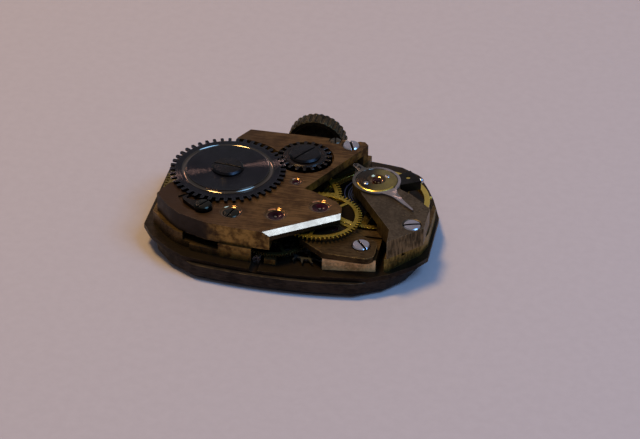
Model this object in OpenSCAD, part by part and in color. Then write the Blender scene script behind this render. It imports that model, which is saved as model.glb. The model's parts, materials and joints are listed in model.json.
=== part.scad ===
// Small shaped hand-wound watch movement, lying dial side down with its bridges up, in millimetres.
// The origin is on the hand axis, in the plane that the casing ring rests on.
// +X runs to the balance end, +Y to the crown and +Z to the bridges.

/* [Plates and bridges] */
// Length of the main plate's flange
plate_len = 17.9; // [17.8:0.1:18.1]
// Width of the main plate's flange at the middle
plate_wid = 13.7; // [13.5:0.1:13.9]
// Length of the main plate above its flange
body_len = 17.5; // [17.4:0.1:17.7]
// Width of the main plate above its flange
body_wid = 12.2; // [12.1:0.1:12.4]
// Radius of the bulged long sides
side_r = 32; // [28:1:40]
// Height of the casing ring
ring_h = 1.05; // [1:0.05:1.2]
// Length of the casing ring
ring_len = 16.8; // [16.6:0.1:17]
// Width of the casing ring
ring_wid = 14.2; // [14:0.1:14.4]
// Wall of the casing ring
ring_wall = 0.32; // [0.25:0.01:0.36]
// Bevel round the casing ring's lower edge
ring_bevel = 0.3; // [0.1:0.05:0.35]
// Width of the gap that the crown turns in
crown_gap = 4.4; // [4.2:0.1:4.8]
// Thickness of the main plate's flange
flange_t = 0.3; // [0.25:0.05:0.4]
// Height of the main plate above the ring
plate_rise = 1.22; // [1.2:0.01:1.26]
// Thickness of the plate that is left under the train, above the ring's top
floor_t = 0.25; // [0.22:0.01:0.27]
// Thickness of the dial
dial_t = 0.15; // [0.1:0.01:0.2]
// Full height of the bridge and the balance cock
bridge_h = 1.25; // [1.22:0.01:1.35]
// Thickness of the bridge plate over the wheels
bridge_t = 0.56; // [0.5:0.01:0.57]
// Half width of the barrel bridge at the middle
bridge_half_wid = 5.92; // [5.85:0.01:6]
// Width of the polished bevel on the bridge's front edge
polish_w = 0.26; // [0.1:0.02:0.35]
// Thickness of the escape bridge
escape_bridge_t = 0.4; // [0.3:0.02:0.42]

/* [Barrel and winding] */
// Barrel arbor, from the hand axis towards the left end
barrel_x = 4.42; // [4.4:0.01:4.46]
// Barrel arbor, from the hand axis towards the crown
barrel_y = 0.27; // [0.2:0.01:0.32]
// Outer radius of the barrel drum
drum_r = 3.6; // [3.55:0.05:3.65]
// Wall of the barrel drum
drum_wall = 0.2; // [0.15:0.01:0.3]
// Thickness of the mainspring
mainspring_t = 0.09; // [0.07:0.01:0.11]
// Turns of the mainspring
mainspring_turns = 9; // [7:1:10]
// Module of the ratchet and crown wheels
winding_module = 0.16; // [0.158:0.001:0.161]
// Thickness of the ratchet wheel
ratchet_t = 0.24; // [0.2:0.01:0.3]
// Radius of the ratchet wheel's raised face
ratchet_step_r = 2.74; // [2.4:0.02:3]
// Radius of the ratchet screw's head
ratchet_screw_r = 1; // [0.8:0.05:1.2]
// Height of the ratchet screw's head
ratchet_screw_h = 0.36; // [0.2:0.02:0.45]
// Radius of the crown wheel screw's head
crown_screw_r = 1.02; // [0.9:0.02:1.1]
// Height of the stem's axis over the plane of rest
stem_z = 2.15; // [2.14:0.01:2.16]
// Outer radius of the crown
crown_r = 1.95; // [1.8:0.05:2]
// Thickness of the crown
crown_t = 1.2; // [1:0.05:1.5]
// How far the crown pulls out
crown_travel = 0.45; // [0.35:0.01:0.46]

/* [Going train] */
// Thickness of the train wheels
wheel_t = 0.12; // [0.1:0.01:0.13]
// Third wheel arbor, from the hand axis to the right
third_x = 2; // [1.98:0.01:2.02]
// Third wheel arbor, from the hand axis to the front
third_y = 2.43; // [2.42:0.01:2.45]
// Fourth wheel arbor, from the hand axis to the left
fourth_x = 0.48; // [0.46:0.01:0.5]
// Fourth wheel arbor, from the hand axis to the front
fourth_y = 3.85; // [3.83:0.01:3.87]
// Module of the fourth wheel and the escape pinion
fine_module = 0.0565; // [0.056:0.0001:0.057]
// Radius of the escape wheel at its tips
escape_r = 1.5; // [1.45:0.01:1.52]
// Radius of the arbors
arbor_r = 0.14; // [0.12:0.01:0.16]
// Radius of the pivots
pivot_r = 0.08; // [0.06:0.01:0.1]
// Radius of the ruby jewels in the bridge
ruby_r = 0.53; // [0.45:0.01:0.56]

/* [Balance] */
// Balance staff, from the hand axis to the right
balance_x = 4.93; // [4.92:0.01:4.96]
// Balance staff, from the hand axis to the crown side
balance_y = 1.01; // [1:0.01:1.05]
// Outer radius of the balance rim
balance_r = 3.37; // [3.3:0.01:3.4]
// Width of the balance rim
balance_rim_w = 0.34; // [0.28:0.02:0.4]
// Height of the balance rim
balance_rim_h = 0.34; // [0.3:0.01:0.36]
// Turns of the hairspring
hairspring_turns = 11; // [8:1:12]
// Thickness of the hairspring's strip
hairspring_t = 0.035; // [0.03:0.005:0.045]
// Radius of the brass cap over the balance jewel
cap_r = 1.3; // [1.2:0.02:1.34]
// Width of the regulator's ring
regulator_w = 0.17; // [0.12:0.01:0.2]
// How far the regulator turns each way, in degrees
regulator_turn = 12; // [6:1:14]

/* [Screws and hands] */
// Radius of the bridge screws' heads
screw_r = 0.55; // [0.5:0.01:0.57]
// Width of the screw slots
slot_w = 0.14; // [0.1:0.01:0.18]
// Depth of the screw slots, as a share of the head's height
slot_share = 0.45; // [0.3:0.05:0.6]
// Radius of the post that carries the minute hand
hand_post_r = 0.38; // [0.36:0.01:0.4]
// Outer radius of the pipe that carries the hour hand
hour_pipe_r = 0.62; // [0.6:0.01:0.64]

/* [Hidden] */

// Running gap between pieces that turn
gap = 0.04;
// How far a cut runs past the face that it opens
over = 0.5;
// Larger than the whole movement
far = 40;

// Corners of the outlines, as insets from the end and from the side, from the end round to the side
flange_corner = [[0, 3.45], [0.65, 2.45], [2.05, 1.2], [3.2, 0.52]];
body_corner = [[0, 3.9], [0.3, 2.9], [2.1, 0.6]];
bridge_corner = [[0, 2.83], [1.06, 1.62], [1.83, 0.98], [3.2, 0.48]];
ring_corner = [[0, 4.2], [0.6, 2.6], [1.7, 1.35], [3.2, 0.5]];

// Heights of the plates
plate_top = ring_h + plate_rise;
plate_low = ring_h - 0.4;
floor_z = ring_h + floor_t;
bridge_top = plate_top + bridge_h;
bridge_under = bridge_top - bridge_t;
dial_z = plate_low - dial_t;
dial_side = floor_z - 0.28;
barrel_floor = ring_h + 0.07;

// Heights of the wheels
escape_z = floor_z + 0.14;
fourth_z = escape_z + wheel_t + 0.16;
balance_z = fourth_z + wheel_t + 0.11;
centre_z = plate_top + 0.26;
third_z = centre_z + wheel_t + 0.1;
barrel_top = centre_z - 0.11;
barrel_z = barrel_floor + 0.1;
rim_h = 0.22;
escape_bridge_z = plate_top - 0.12;
ratchet_z = bridge_top + gap;
crown_wheel_z = bridge_top - 0.32;
crown_wheel_t = 0.52;
winding_floor = crown_wheel_z - gap;

// Tooth counts
barrel_n = 84;
centre_pinion_n = 10;
centre_n = 64;
third_pinion_n = 8;
third_n = 60;
fourth_pinion_n = 8;
fourth_n = 70;
escape_pinion_n = 7;
escape_n = 15;
ratchet_n = 44;
crown_wheel_n = 20;
winding_pinion_n = 12;
cannon_n = 12;
minute_n = 36;
minute_pinion_n = 10;
hour_n = 40;
setting_n = 15;

// Share of the pitch that a wheel's tooth and a pinion's leaf fill, and their heights in modules
tooth_share = 0.43;
leaf_share = 0.29;
tooth_add = 1.2;
tooth_ded = 1.5;
leaf_add = 0.6;
leaf_ded = 1.6;

// Centres, in plan
barrel_c = [-barrel_x, barrel_y];
third_c = [third_x, -third_y];
fourth_c = [-fourth_x, -fourth_y];
balance_c = [balance_x, balance_y];
escape_dist = fine_module * (fourth_n + escape_pinion_n) / 2;
escape_c = fourth_c + escape_dist * [cos(12), -sin(12)];
pallet_dist = escape_r / cos(30) + 0.03;
pallet_dir = 38;
pallet_c = escape_c + pallet_dist * [cos(pallet_dir), sin(pallet_dir)];
winding_dist = winding_module * (ratchet_n + crown_wheel_n) / 2;
crown_wheel_c = [0, barrel_y + sqrt(pow(winding_dist, 2) - pow(barrel_x, 2))];
motion_dist = 2.1;
setting_c = [0, 2.42];
motion_module = 2 * motion_dist / (cannon_n + minute_n);
hour_module = 2 * motion_dist / (minute_pinion_n + hour_n);
setting_dist = motion_module * (minute_n + setting_n) / 2;
minute_dir = asin((pow(motion_dist, 2) + pow(norm(setting_c), 2) - pow(setting_dist, 2))
    / (2 * motion_dist * norm(setting_c)));
minute_c = motion_dist * [cos(minute_dir), sin(minute_dir)];

// Modules that follow from the centres
barrel_module = 2 * norm(barrel_c) / (barrel_n + centre_pinion_n);
centre_module = 2 * norm(third_c) / (centre_n + third_pinion_n);
third_module = 2 * norm(third_c - fourth_c) / (third_n + fourth_pinion_n);

function dir(a, b) = atan2(b[1] - a[1], b[0] - a[0]);
function polar(r, angle) = r * [cos(angle), sin(angle)];
function tip_r(n, m) = m * (n / 2 + tooth_add);

// Angle to which a wheel at b is turned so that it meshes with a wheel at a that is turned to from
function mesh(a, b, n_a, from, n_b) = dir(a, b) + 180 - 180 / n_b + (dir(a, b) - from) * n_a / n_b;

// Phase of each pinion and follower, so that all teeth are in mesh at rest
centre_pinion_phase = mesh(barrel_c, [0, 0], barrel_n, 0, centre_pinion_n);
third_pinion_phase = mesh([0, 0], third_c, centre_n, 0, third_pinion_n);
fourth_pinion_phase = mesh(third_c, fourth_c, third_n, 0, fourth_pinion_n);
escape_pinion_phase = mesh(fourth_c, escape_c, fourth_n, 0, escape_pinion_n);
minute_phase = mesh([0, 0], minute_c, cannon_n, 0, minute_n);
hour_phase = mesh(minute_c, [0, 0], minute_pinion_n, 0, hour_n);
setting_phase = mesh(minute_c, setting_c, minute_n, minute_phase, setting_n);

// How far an epicycloid flank has leaned over where it reaches radius r
function lean(pitch_r, roll_r, r) =
    let (reach = pitch_r + roll_r,
        c = (pow(reach, 2) + pow(roll_r, 2) - pow(r, 2)) / (2 * reach * roll_r),
        turn = acos(max(-1, min(1, c))) * roll_r / pitch_r,
        x = reach * cos(turn) - roll_r * cos(reach / roll_r * turn),
        y = reach * sin(turn) - roll_r * sin(reach / roll_r * turn))
    atan2(y, x);

// One side of a tooth, as radius and angle from the tooth's middle: a radial foot and a rounded tip
function flank(n, m, mate, add, ded, share, steps) =
    let (pitch_r = n * m / 2, half = 180 * share / n)
    concat([[pitch_r - ded * m, half]],
        [for (i = [0:steps])
            let (r = pitch_r + add * m * i / steps)
            [r, max(half - lean(pitch_r, mate * m / 4, r), half * 0.12)]]);

function toothed(n, m, mate, add, ded, share, steps = 3) =
    let (side = flank(n, m, mate, add, ded, share, steps), last = len(side) - 1)
    [for (k = [0:n - 1]) each concat(
        [for (i = [0:last]) polar(side[i][0], 360 * k / n - side[i][1])],
        [for (i = [last:-1:0]) polar(side[i][0], 360 * k / n + side[i][1])])];

module at(c) translate([c[0], c[1], 0]) children();

module rod(r, z0, z1) translate([0, 0, z0]) cylinder(r = r, h = z1 - z0, $fn = 64);

module gear(n, m, mate, z0, t, phase = 0, share = tooth_share, steps = 3)
    translate([0, 0, z0]) rotate([0, 0, phase]) linear_extrude(t)
        polygon(toothed(n, m, mate, tooth_add, tooth_ded, share, steps));

module leaves(n, m, mate, z0, t, phase)
    translate([0, 0, z0]) rotate([0, 0, phase]) linear_extrude(t)
        polygon(toothed(n, m, mate, leaf_add, leaf_ded, leaf_share));

// Cuts the openings between a wheel's arms
module arm_gaps(arms, hub_r, rim_r, arm_w, z0, t, turn = 0)
    difference() {
        rod(rim_r, z0 - over, z0 + t + over);
        rod(hub_r, z0 - 2 * over, z0 + t + 2 * over);
        for (k = [0:arms - 1]) rotate([0, 0, turn + 360 * k / arms])
            translate([0, -arm_w / 2, z0 - 2 * over]) cube([rim_r + over, arm_w, t + 4 * over]);
    }

// A slab whose outer face stands d from the origin and looks along angle, with its lower edge bevelled
module facing(angle, d, z0, z1, bevel)
    rotate([0, 0, angle]) rotate([90, 0, 0]) translate([0, 0, -far / 2]) linear_extrude(far)
        polygon([[-far, z0], [d - bevel, z0], [d, z0 + bevel], [d, z1], [-far, z1]]);

// One bulged long side, as a disc whose lower edge is bevelled
module side_arc(side, half_w, z0, z1, bevel)
    translate([0, side * (half_w - side_r), 0]) rotate_extrude($fn = 128)
        polygon([[0, z0], [side_r - bevel, z0], [side_r, z0 + bevel], [side_r, z1], [0, z1]]);

// The outline that all plates share: flat ends, cut corners and bulged long sides
module tonneau(half_l, half_w, corner, z0, z1, bevel = 0) {
    pts = [for (c = corner) [half_l - c[0], half_w - c[1]]];
    intersection() {
        facing(0, half_l, z0, z1, bevel);
        facing(180, half_l, z0, z1, bevel);
        side_arc(1, half_w, z0, z1, bevel);
        side_arc(-1, half_w, z0, z1, bevel);
        intersection_for (i = [0:len(pts) - 2]) {
            a = atan2(pts[i][0] - pts[i + 1][0], pts[i + 1][1] - pts[i][1]);
            d = pts[i][0] * cos(a) + pts[i][1] * sin(a);
            intersection() {
                facing(a, d, z0, z1, bevel);
                facing(180 - a, d, z0, z1, bevel);
                facing(180 + a, d, z0, z1, bevel);
                facing(-a, d, z0, z1, bevel);
            }
        }
    }
}

module prism(points, z0, z1) translate([0, 0, z0]) linear_extrude(z1 - z0) polygon(points);

module crown_notch(z0, z1)
    translate([-crown_gap / 2, notch_y, z0]) cube([crown_gap, far, z1 - z0]);

// A screw with a slotted head, whose head sits on the plane z
module slotted(head_r, head_h, shank_r, shank_l, z, turn) {
    difference() {
        rod(head_r, z, z + head_h);
        rotate([0, 0, turn]) translate([-far / 2, -slot_w / 2, z + head_h * (1 - slot_share)]) cube([far, slot_w, far]);
    }
    rod(shank_r, z - shank_l, z);
}

// A flat ring jewel
module jewel(r, hole, z0, z1) difference() {
    rod(r, z0, z1);
    rod(hole, z0 - over, z1 + over);
}

// Sizes that seat one piece in another
notch_y = 6.25;
half_ring_l = ring_len / 2;
bridge_half_l = 8.14;
half_ring_w = ring_wid / 2;
spigot_l = half_ring_l - ring_wall - gap;
spigot_w = half_ring_w - ring_wall - gap;
lip_w = 0.45;
barrel_tip = tip_r(barrel_n, barrel_module);
fourth_tip = tip_r(fourth_n, fine_module);
centre_tip = tip_r(centre_n, centre_module);
minute_tip = tip_r(minute_n, motion_module);
hour_tip = tip_r(hour_n, hour_module);
setting_tip = tip_r(setting_n, motion_module);
recess_gap = 0.12;
balance_recess_r = balance_r + 0.25;
cock_under = plate_top + 0.53;
cock_head_r = cap_r + 0.2;
plate_jewel_r = 0.4;
plate_jewel_z = floor_z - 0.2;
small_jewel_r = 0.28;
centre_arbor_r = 0.2;
winding_add = 0.8;
winding_ded = 1.4;
ratchet_tip = winding_module * (ratchet_n / 2 + winding_add);
crown_recess_r = winding_module * (crown_wheel_n / 2 + winding_add) + 0.12;

// Screws, in plan: three bright ones, the dark one in the bridge and the click's own
rear_screw = [2.58, 4.99];
cock_screw = [7.86, -3.22];
escape_bridge_screw = [5, -4.67];
front_screw = [-3.2, -4.17];
click_c = [-4.97, -4.06];
lever_pivot = [1.49, 5.3];
yoke_pivot = [-1.75, 3.9];
shank_r = 0.28;
thread_r = shank_r + 0.02;
bright_seat = bridge_top - 0.25;
escape_bridge_top = escape_bridge_z + escape_bridge_t;
escape_seat = escape_bridge_top - 0.16;
front_seat = bridge_top - 0.22;
dark_head_r = 0.52;
lever_head_r = 0.36;
lever_seat = bridge_top - 0.2;
lever_shank_r = 0.14;

// Keyless works, along the stem from the hand axis to the crown
saddle_y = 1.95;
saddle_end = 2.75;
clutch_y = 3.4;
clutch_end = 4.25;
clutch_r = 0.75;
pinion_y = 4.3;
pinion_end = 4.95;
pocket_end = 5.12;
groove_y = lever_pivot[1];
groove_w = 0.3;
stud_r = 0.12;
crown_y = notch_y + 0.12;
stem_r = 0.45;
neck_r = 0.32;
square_w = 0.44;
pilot_r = 0.18;
winding_r = crown_wheel_z + 0.08 - stem_z;
winding_body_r = 0.75;
yoke_groove_y = 3.835;
keyless_z = dial_side - 0.18;
keyless_t = 0.14;

module casing_ring() color("#241d1b") difference() {
    tonneau(half_ring_l, half_ring_w, ring_corner, 0, ring_h, ring_bevel);
    tonneau(half_ring_l - ring_wall, half_ring_w - ring_wall, ring_corner, dial_z, ring_h + over);
    tonneau(half_ring_l - ring_wall - lip_w, half_ring_w - ring_wall - lip_w, ring_corner, -over, ring_h);
    crown_notch(-over, ring_h + over);
}

module dial() color("#d8cfb8") difference() {
    tonneau(spigot_l, spigot_w, ring_corner, dial_z, dial_z + dial_t);
    rod(hour_pipe_r + 0.08, 0, plate_low + over);
    crown_notch(0, plate_low + over);
}

// Room on the plate's upper side for the barrel, the train, the escapement and the balance
module plate_recesses() {
    top = plate_top + over;
    at(barrel_c) rod(barrel_tip + recess_gap, barrel_floor, top);
    at(barrel_c) rod(0.39, plate_low + 0.15, top);
    translate([-far - 7.4, -1.9, 1.5]) cube([far, 4.6, far]);
    prism([[-1.54, -7.5], [2.85, -7.5], [2.85, -5.2], [4.1, -3.4], [4.4, -2], [2.2, 2.2], [1.3, 1.9],
        [-0.9, 1.9], [-1.3, 0], [-2.2, -3], [-1.54, -5]], floor_z, top);
    at(fourth_c) rod(fourth_tip + recess_gap, floor_z, top);
    at(escape_c) rod(escape_r + recess_gap, floor_z, top);
    at(pallet_c) rod(1.25, floor_z, escape_bridge_z);
    at(balance_c) rod(balance_recess_r, floor_z, top);
    prism([[2.4, -7.5], [6.3, -7.5], [6.3, -3.2], [2.4, -3.2]], escape_bridge_z, top);
    translate([6.05, -7.5, ring_h + flange_t]) cube([0.5, 4.6, far]);
    translate([-6.02, -7.5, plate_top - 0.47]) cube([2.39, 4, far]);
    translate([7.45, -7.5, plate_top - 0.3]) cube([0.35, 3.3, far]);
}

// Room on the dial side for the motion work and the setting parts
module dial_side_recesses() {
    low = plate_low - over;
    rod(hour_tip + recess_gap, low, dial_side);
    at(minute_c) rod(minute_tip + recess_gap, low, dial_side);
    at(setting_c) rod(setting_tip + recess_gap, low, floor_z + 0.1);
    translate([-2.4, 2.6, low]) cube([4.7, 3.35, dial_side - low]);
    translate([-1.2, saddle_end, low]) cube([2.4, pocket_end - saddle_end, far]);
    translate([-stud_r - 0.08, groove_y - stud_r - 0.06, low])
        cube([2 * stud_r + 0.26, crown_travel + 2 * stud_r + 0.12, plate_top - low - 0.2]);
}

module plate_holes() {
    top = plate_top + over;
    rod(centre_arbor_r + gap, plate_low, top);
    for (c = [third_c, fourth_c, escape_c, pallet_c, balance_c]) at(c) rod(plate_jewel_r, plate_jewel_z, top);
    at(rear_screw) rod(thread_r, floor_z + 0.3, top);
    at(cock_screw) rod(thread_r, floor_z + 0.3, top);
    at(front_screw) rod(thread_r, floor_z + 0.3, top);
    at(escape_bridge_screw) rod(thread_r, floor_z, top);
    at(lever_pivot) rod(lever_shank_r + gap, plate_low, top);
    for (side = [1, -1]) at(banking_place(side)) rod(banking_r, floor_z - 0.12, top);
    translate([0, pocket_end - over, stem_z]) rotate([-90, 0, 0]) cylinder(r = stem_r + gap, h = far, $fn = 64);
    for (s = dial_screws) dial_screw_hole(s);
}

// Two screws in the plate's edge grip the dial's feet: place along X, and side
dial_screws = [[-1.24, -1], [-3.4, 1]];
dial_screw_z = 1.42;
dial_screw_y = 5.62;
dial_screw_head = 0.26;

module dial_screw_hole(s) translate([s[0], s[1] * dial_screw_y, dial_screw_z]) rotate([-90 * s[1], 0, 0]) {
    cylinder(r = dial_screw_head + gap, h = far, $fn = 48);
    translate([0, 0, -0.55]) cylinder(r = 0.13, h = 1, $fn = 32);
}

module dial_foot_screws() color("#b9b3ad") for (s = dial_screws)
    translate([s[0], s[1] * (dial_screw_y + 0.01), dial_screw_z]) rotate([-90 * s[1], 0, 0]) {
        difference() {
            cylinder(r = dial_screw_head, h = 0.3, $fn = 48);
            translate([-slot_w / 3, -far / 2, 0.2]) cube([slot_w / 1.5, far, far]);
        }
        translate([0, 0, -0.5]) cylinder(r = 0.11, h = 0.5, $fn = 32);
    }

// The plate's rear corner at the balance end, cut back along points so that the balance's rim overhangs it
module rear_corner_cut(points, z0, z1)
    prism(concat([[far, points[0][1]]], points, [[points[len(points) - 1][0], far], [far, far]]), z0, z1);

// At the barrel's end the plate's body follows the bridge, with a narrow ledge round it
module barrel_end_cut() difference() {
    translate([-far, -far, ring_h + flange_t]) cube([far - 5.5, 2 * far, far]);
    tonneau(bridge_half_l + ledge_w, bridge_half_wid + 0.1, bridge_corner, 0, far);
}

ledge_w = 0.26;

module mainplate() color("#8a7340") {
    difference() {
        union() {
            tonneau(spigot_l, spigot_w, ring_corner, plate_low, ring_h);
            difference() {
                tonneau(plate_len / 2, plate_wid / 2, flange_corner, ring_h, ring_h + flange_t);
                rear_corner_cut([[plate_len / 2, 1], [8.3, 3], [7.7, 4.3], [7.2, 5.2]], ring_h - over, plate_top);
            }
            difference() {
                tonneau(body_len / 2, body_wid / 2, body_corner, ring_h, plate_top);
                rear_corner_cut([[body_len / 2, 0.7], [7.4, 2.9], [6.2, 4.6]], ring_h - over, plate_top + over);
                barrel_end_cut();
            }
        }
        difference() {
            plate_recesses();
            saddle();
            translate([-0.72, -6.1, 0]) cube([0.7, 0.5, fourth_z - 0.04]);
        }
        difference() {
            dial_side_recesses();
            saddle();
            at(minute_c) rod(post_r, plate_low + 0.07, dial_side);
            at(yoke_pivot) rod(post_r, keyless_z - gap, dial_side);
        }
        plate_holes();
        crown_notch(0, ring_h + flange_t + over);
        translate([0, saddle_y - over, stem_z]) rotate([-90, 0, 0])
            cylinder(r = pilot_r + gap, h = saddle_end - saddle_y + 2 * over, $fn = 48);
    }
}

post_r = 0.2;

// The block over the setting wheel that carries the stem's inner end, with the setting wheel's post
module saddle() {
    difference() {
        translate([-0.75, saddle_y, floor_z + 0.1]) cube([2.05, saddle_end - saddle_y, plate_rise - floor_t - 0.1]);
        at(barrel_c) rod(barrel_tip + recess_gap, 0, far);
    }
    at(setting_c) rod(post_r, plate_low + 0.15, floor_z + 0.2);
}

// Outline of the barrel bridge, without its bulged front, which the shared outline gives
bridge_edge_a = [-0.43, -5.92];
bridge_edge_b = [3.42, -3.25];
bridge_points = [[-bridge_half_l, -7], [-0.43, -7], bridge_edge_a, bridge_edge_b, [3.35, -2.33], [2.9, -1.72],
    [1.29, -0.89], [0.65, -0.69], [3.67, 5.12], [3.4, 5.45], [-4.1, 5.45], [-4.72, 4.27], barrel_c,
    [-7.64, -1.68], [-bridge_half_l, -3.05]];
barrel_seat_r = 3.15;
barrel_window_r = 3.93;

module bridge_outline(z0, z1) intersection() {
    tonneau(bridge_half_l, bridge_half_wid, bridge_corner, z0, z1);
    union() {
        prism(bridge_points, z0 - over, z1 + over);
        at(barrel_c) rod(barrel_seat_r, z0 - over, z1 + over);
    }
}

module bridge_feet() intersection() {
    bridge_outline(plate_top, bridge_top);
    difference() {
        union() {
            prism([[-9, -7], [-0.43, -7], [-0.43, -5], [-2.3, -4.3], [-2.5, -3.4], [-9, -1]], plate_top, bridge_top);
            prism([[1.25, 6], [4, 6], [3.75, 4.9], [3.1, 4.45], [1.25, 4.45]], plate_top, bridge_top);
            prism([[-5, 6], [-1.35, 6], [-1.35, 4.5], [-5, 4.5]], plate_top, bridge_top);
            at(crown_wheel_c) rod(crown_recess_r + 0.3, centre_z + wheel_t + 0.08, bridge_top);
        }
        at(barrel_c) rod(barrel_tip + recess_gap, 0, bridge_under);
        at(balance_c) rod(balance_recess_r, 0, bridge_under);
    }
}

// The bevel that is polished along the bridge's front edge
module polish_cut() {
    run = bridge_edge_b - bridge_edge_a;
    translate([bridge_edge_a[0], bridge_edge_a[1], 0]) rotate([0, 0, atan2(run[1], run[0])])
        translate([-over, 0, 0]) rotate([90, 0, 90]) linear_extrude(norm(run) + 2 * over)
            polygon([[-over, bridge_top - polish_w - over], [polish_w + over, bridge_top + over],
                [-over, bridge_top + over]]);
}

// A jewel's or screw's seat: a straight bore from z up, opening in a cone at the top
module sink(c, r, z, wide, top, depth) at(c) {
    rod(r, z, top + over);
    translate([0, 0, top - depth]) cylinder(r1 = r, r2 = wide + (wide - r) / depth * over, h = depth + over, $fn = 64);
}

ruby_z = bridge_under + 0.04;
ruby_top = bridge_top - 0.12;

module barrel_bridge() color("#8d6f5c") difference() {
    union() {
        bridge_outline(bridge_under, bridge_top);
        bridge_feet();
    }
    polish_cut();
    difference() {
        at(barrel_c) rod(barrel_window_r, 0, far);
        at(barrel_c) rod(barrel_seat_r, -1, far + 1);
        at(barrel_c) prism([[0, 0], polar(9, 48), polar(9, -30), polar(9, -90), polar(9, 212)], -1, far + 1);
    }
    at(barrel_c) rod(0.62, 0, far);
    for (c = [third_c, fourth_c]) {
        sink(c, ruby_r, ruby_z, ruby_r + 0.16, bridge_top, 0.12);
        at(c) rod(arbor_r + gap, 0, far);
    }
    sink([0, 0], 0.3, bridge_under + 0.12, 0.4, bridge_top, 0.08);
    rod(centre_arbor_r + gap, 0, bridge_top - 0.1);
    at(crown_wheel_c) rod(crown_recess_r, winding_floor, far);
    at(crown_wheel_c) rod(0.3, bridge_under - 0.15, far);
    translate([-1.2, 2.9, plate_top - over]) cube([2.4, clutch_end - 2.9, stem_z + clutch_r + 0.06 - plate_top + over]);
    translate([-1.2, clutch_end - 0.05, plate_top - over])
        cube([2.4, pinion_end + 0.1 - clutch_end, crown_wheel_z + 0.14 - plate_top + over]);
    translate([0, pocket_end - over, stem_z]) rotate([-90, 0, 0]) cylinder(r = stem_r + gap, h = far, $fn = 64);
    sink(rear_screw, screw_r + 0.03, bright_seat, screw_r + 0.1, bridge_top, 0.05);
    at(rear_screw) rod(thread_r, 0, far);
    sink(front_screw, dark_head_r + 0.04, front_seat, dark_head_r + 0.16, bridge_top, 0.12);
    at(front_screw) rod(thread_r, 0, far);
    sink(lever_pivot, lever_head_r + 0.03, lever_seat, lever_head_r + 0.07, bridge_top, 0.04);
    at(lever_pivot) rod(lever_shank_r + gap, 0, far);
    prism([[-6.2, -2.6], [-6.8, -3.1], [-6.25, -4.2], [-5.1, -4.66], [-4.35, -3.9], [-4.3, -2.9], [-5.4, -2.8]],
        click_z - gap, far);
    at(click_c) rod(0.64, click_z - gap, far);
    difference() {
        at(barrel_c) rod(click_spring_r + 0.1, click_z - gap, far);
        at(barrel_c) rod(click_spring_r - 0.1, 0, far + 1);
        at(barrel_c) prism([[0, 0], polar(9, 262), polar(9, 330), polar(9, 60), polar(9, 140), polar(9, 218)], 0, far + 1);
    }
    at(click_c) rod(0.2, bridge_under - over, far);
}

escape_bridge_points = [[1.4, -4.85], [2.9, -5.98], [5.35, -6.06], [5.68, -5.98], [5.9, -5.76], [5.98, -5.45],
    [5.94, -4.4], [5.8, -4.1], [5.1, -3.72], [3.4, -2.98], [2.9, -3.0], [1.3, -3.85]];

module escape_bridge() color("#96765a") difference() {
    union() {
        prism(escape_bridge_points, escape_bridge_z, escape_bridge_top);
        at(escape_c) rod(0.58, escape_bridge_z, escape_bridge_top);
        at(pallet_c) rod(0.5, escape_bridge_z, escape_bridge_top);
    }
    at(escape_c) rod(small_jewel_r, escape_bridge_z + 0.06, far);
    at(pallet_c) rod(small_jewel_r, escape_bridge_z + 0.06, far);
    at(escape_c) rod(pivot_r + 0.06, 0, far);
    at(pallet_c) rod(pivot_r + 0.06, 0, far);
    sink(escape_bridge_screw, screw_r + 0.03, escape_seat, screw_r + 0.08, escape_bridge_top, 0.04);
    at(escape_bridge_screw) rod(thread_r, 0, far);
}

cock_points = [[4.32, -0.62], [6.58, -4.06], [6.68, -5.4], [8.62, -3.45], [8.66, -1.32], [8, -0.63],
    [7.17, 0.1], [6.5, 0.5], [5.6, 1.6], [3.8, 0.4]];

module balance_cock() color("#6f625c") difference() {
    union() {
        prism(cock_points, plate_top, bridge_top);
        at(balance_c) rod(cock_head_r, cock_under, bridge_top);
        stud_lug();
    }
    at(balance_c) rod(balance_recess_r, 0, cock_under);
    at(balance_c) rod(0.3, bridge_top - 0.4, far);
    at(balance_c) rod(0.2, 0, far);
    for (s = [1, -1]) at(cap_screw_place(s)) rod(0.08, bridge_top - 0.3, far);
    sink(cock_screw, screw_r + 0.03, bright_seat, screw_r + 0.09, bridge_top, 0.05);
    at(cock_screw) rod(thread_r, 0, far);
    scale_marks();
}

// Plain ticks for the regulator, cut in the cock's face on an arc about the balance
module scale_marks() for (k = [-4:4])
    at(balance_c) rotate([0, 0, regulator_dir + 2.6 * k])
        translate([regulator_l + 0.04, -0.02, bridge_top - 0.03]) cube([k % 2 == 0 ? 0.16 : 0.1, 0.04, over]);

// The shelf on the cock's head that carries the stud carrier
module stud_lug() difference() {
    prism([balance_c, balance_c + polar(2, 8), balance_c + polar(2.1, 20),
        balance_c + polar(1.9, 36), balance_c + polar(1.5, 50)], cock_under, cock_under + 0.08);
    at(stud_c) rod(0.14, 0, far);
}

function cap_screw_place(s) = balance_c + polar(0.78, 41 + 90 + 90 * s);

module jewel_cap() color("#b39a4e") at(balance_c) difference() {
    rotate_extrude($fn = 96) polygon([[0, bridge_top], [cap_r, bridge_top], [cap_r, bridge_top + 0.12],
        [cap_r - 0.08, bridge_top + 0.17], [0.5, bridge_top + 0.2], [0.36, bridge_top + 0.14],
        [0, bridge_top + 0.14]]);
    rod(0.27, bridge_top + 0.02, far);
    for (s = [1, -1]) translate([cap_screw_place(s)[0] - balance_x, cap_screw_place(s)[1] - balance_y, 0]) {
        rod(0.08, 0, far);
        rod(0.18, bridge_top + 0.1, far);
    }
}

module cap_jewel() color("#7a1030") at(balance_c) rod(0.27, bridge_top + 0.02, bridge_top + 0.15);

module cap_screws() color("#c9c2cc") for (s = [1, -1]) at(cap_screw_place(s))
    slotted(0.16, 0.12, 0.07, 0.3, bridge_top + 0.1, 30 + 50 * s);

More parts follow.
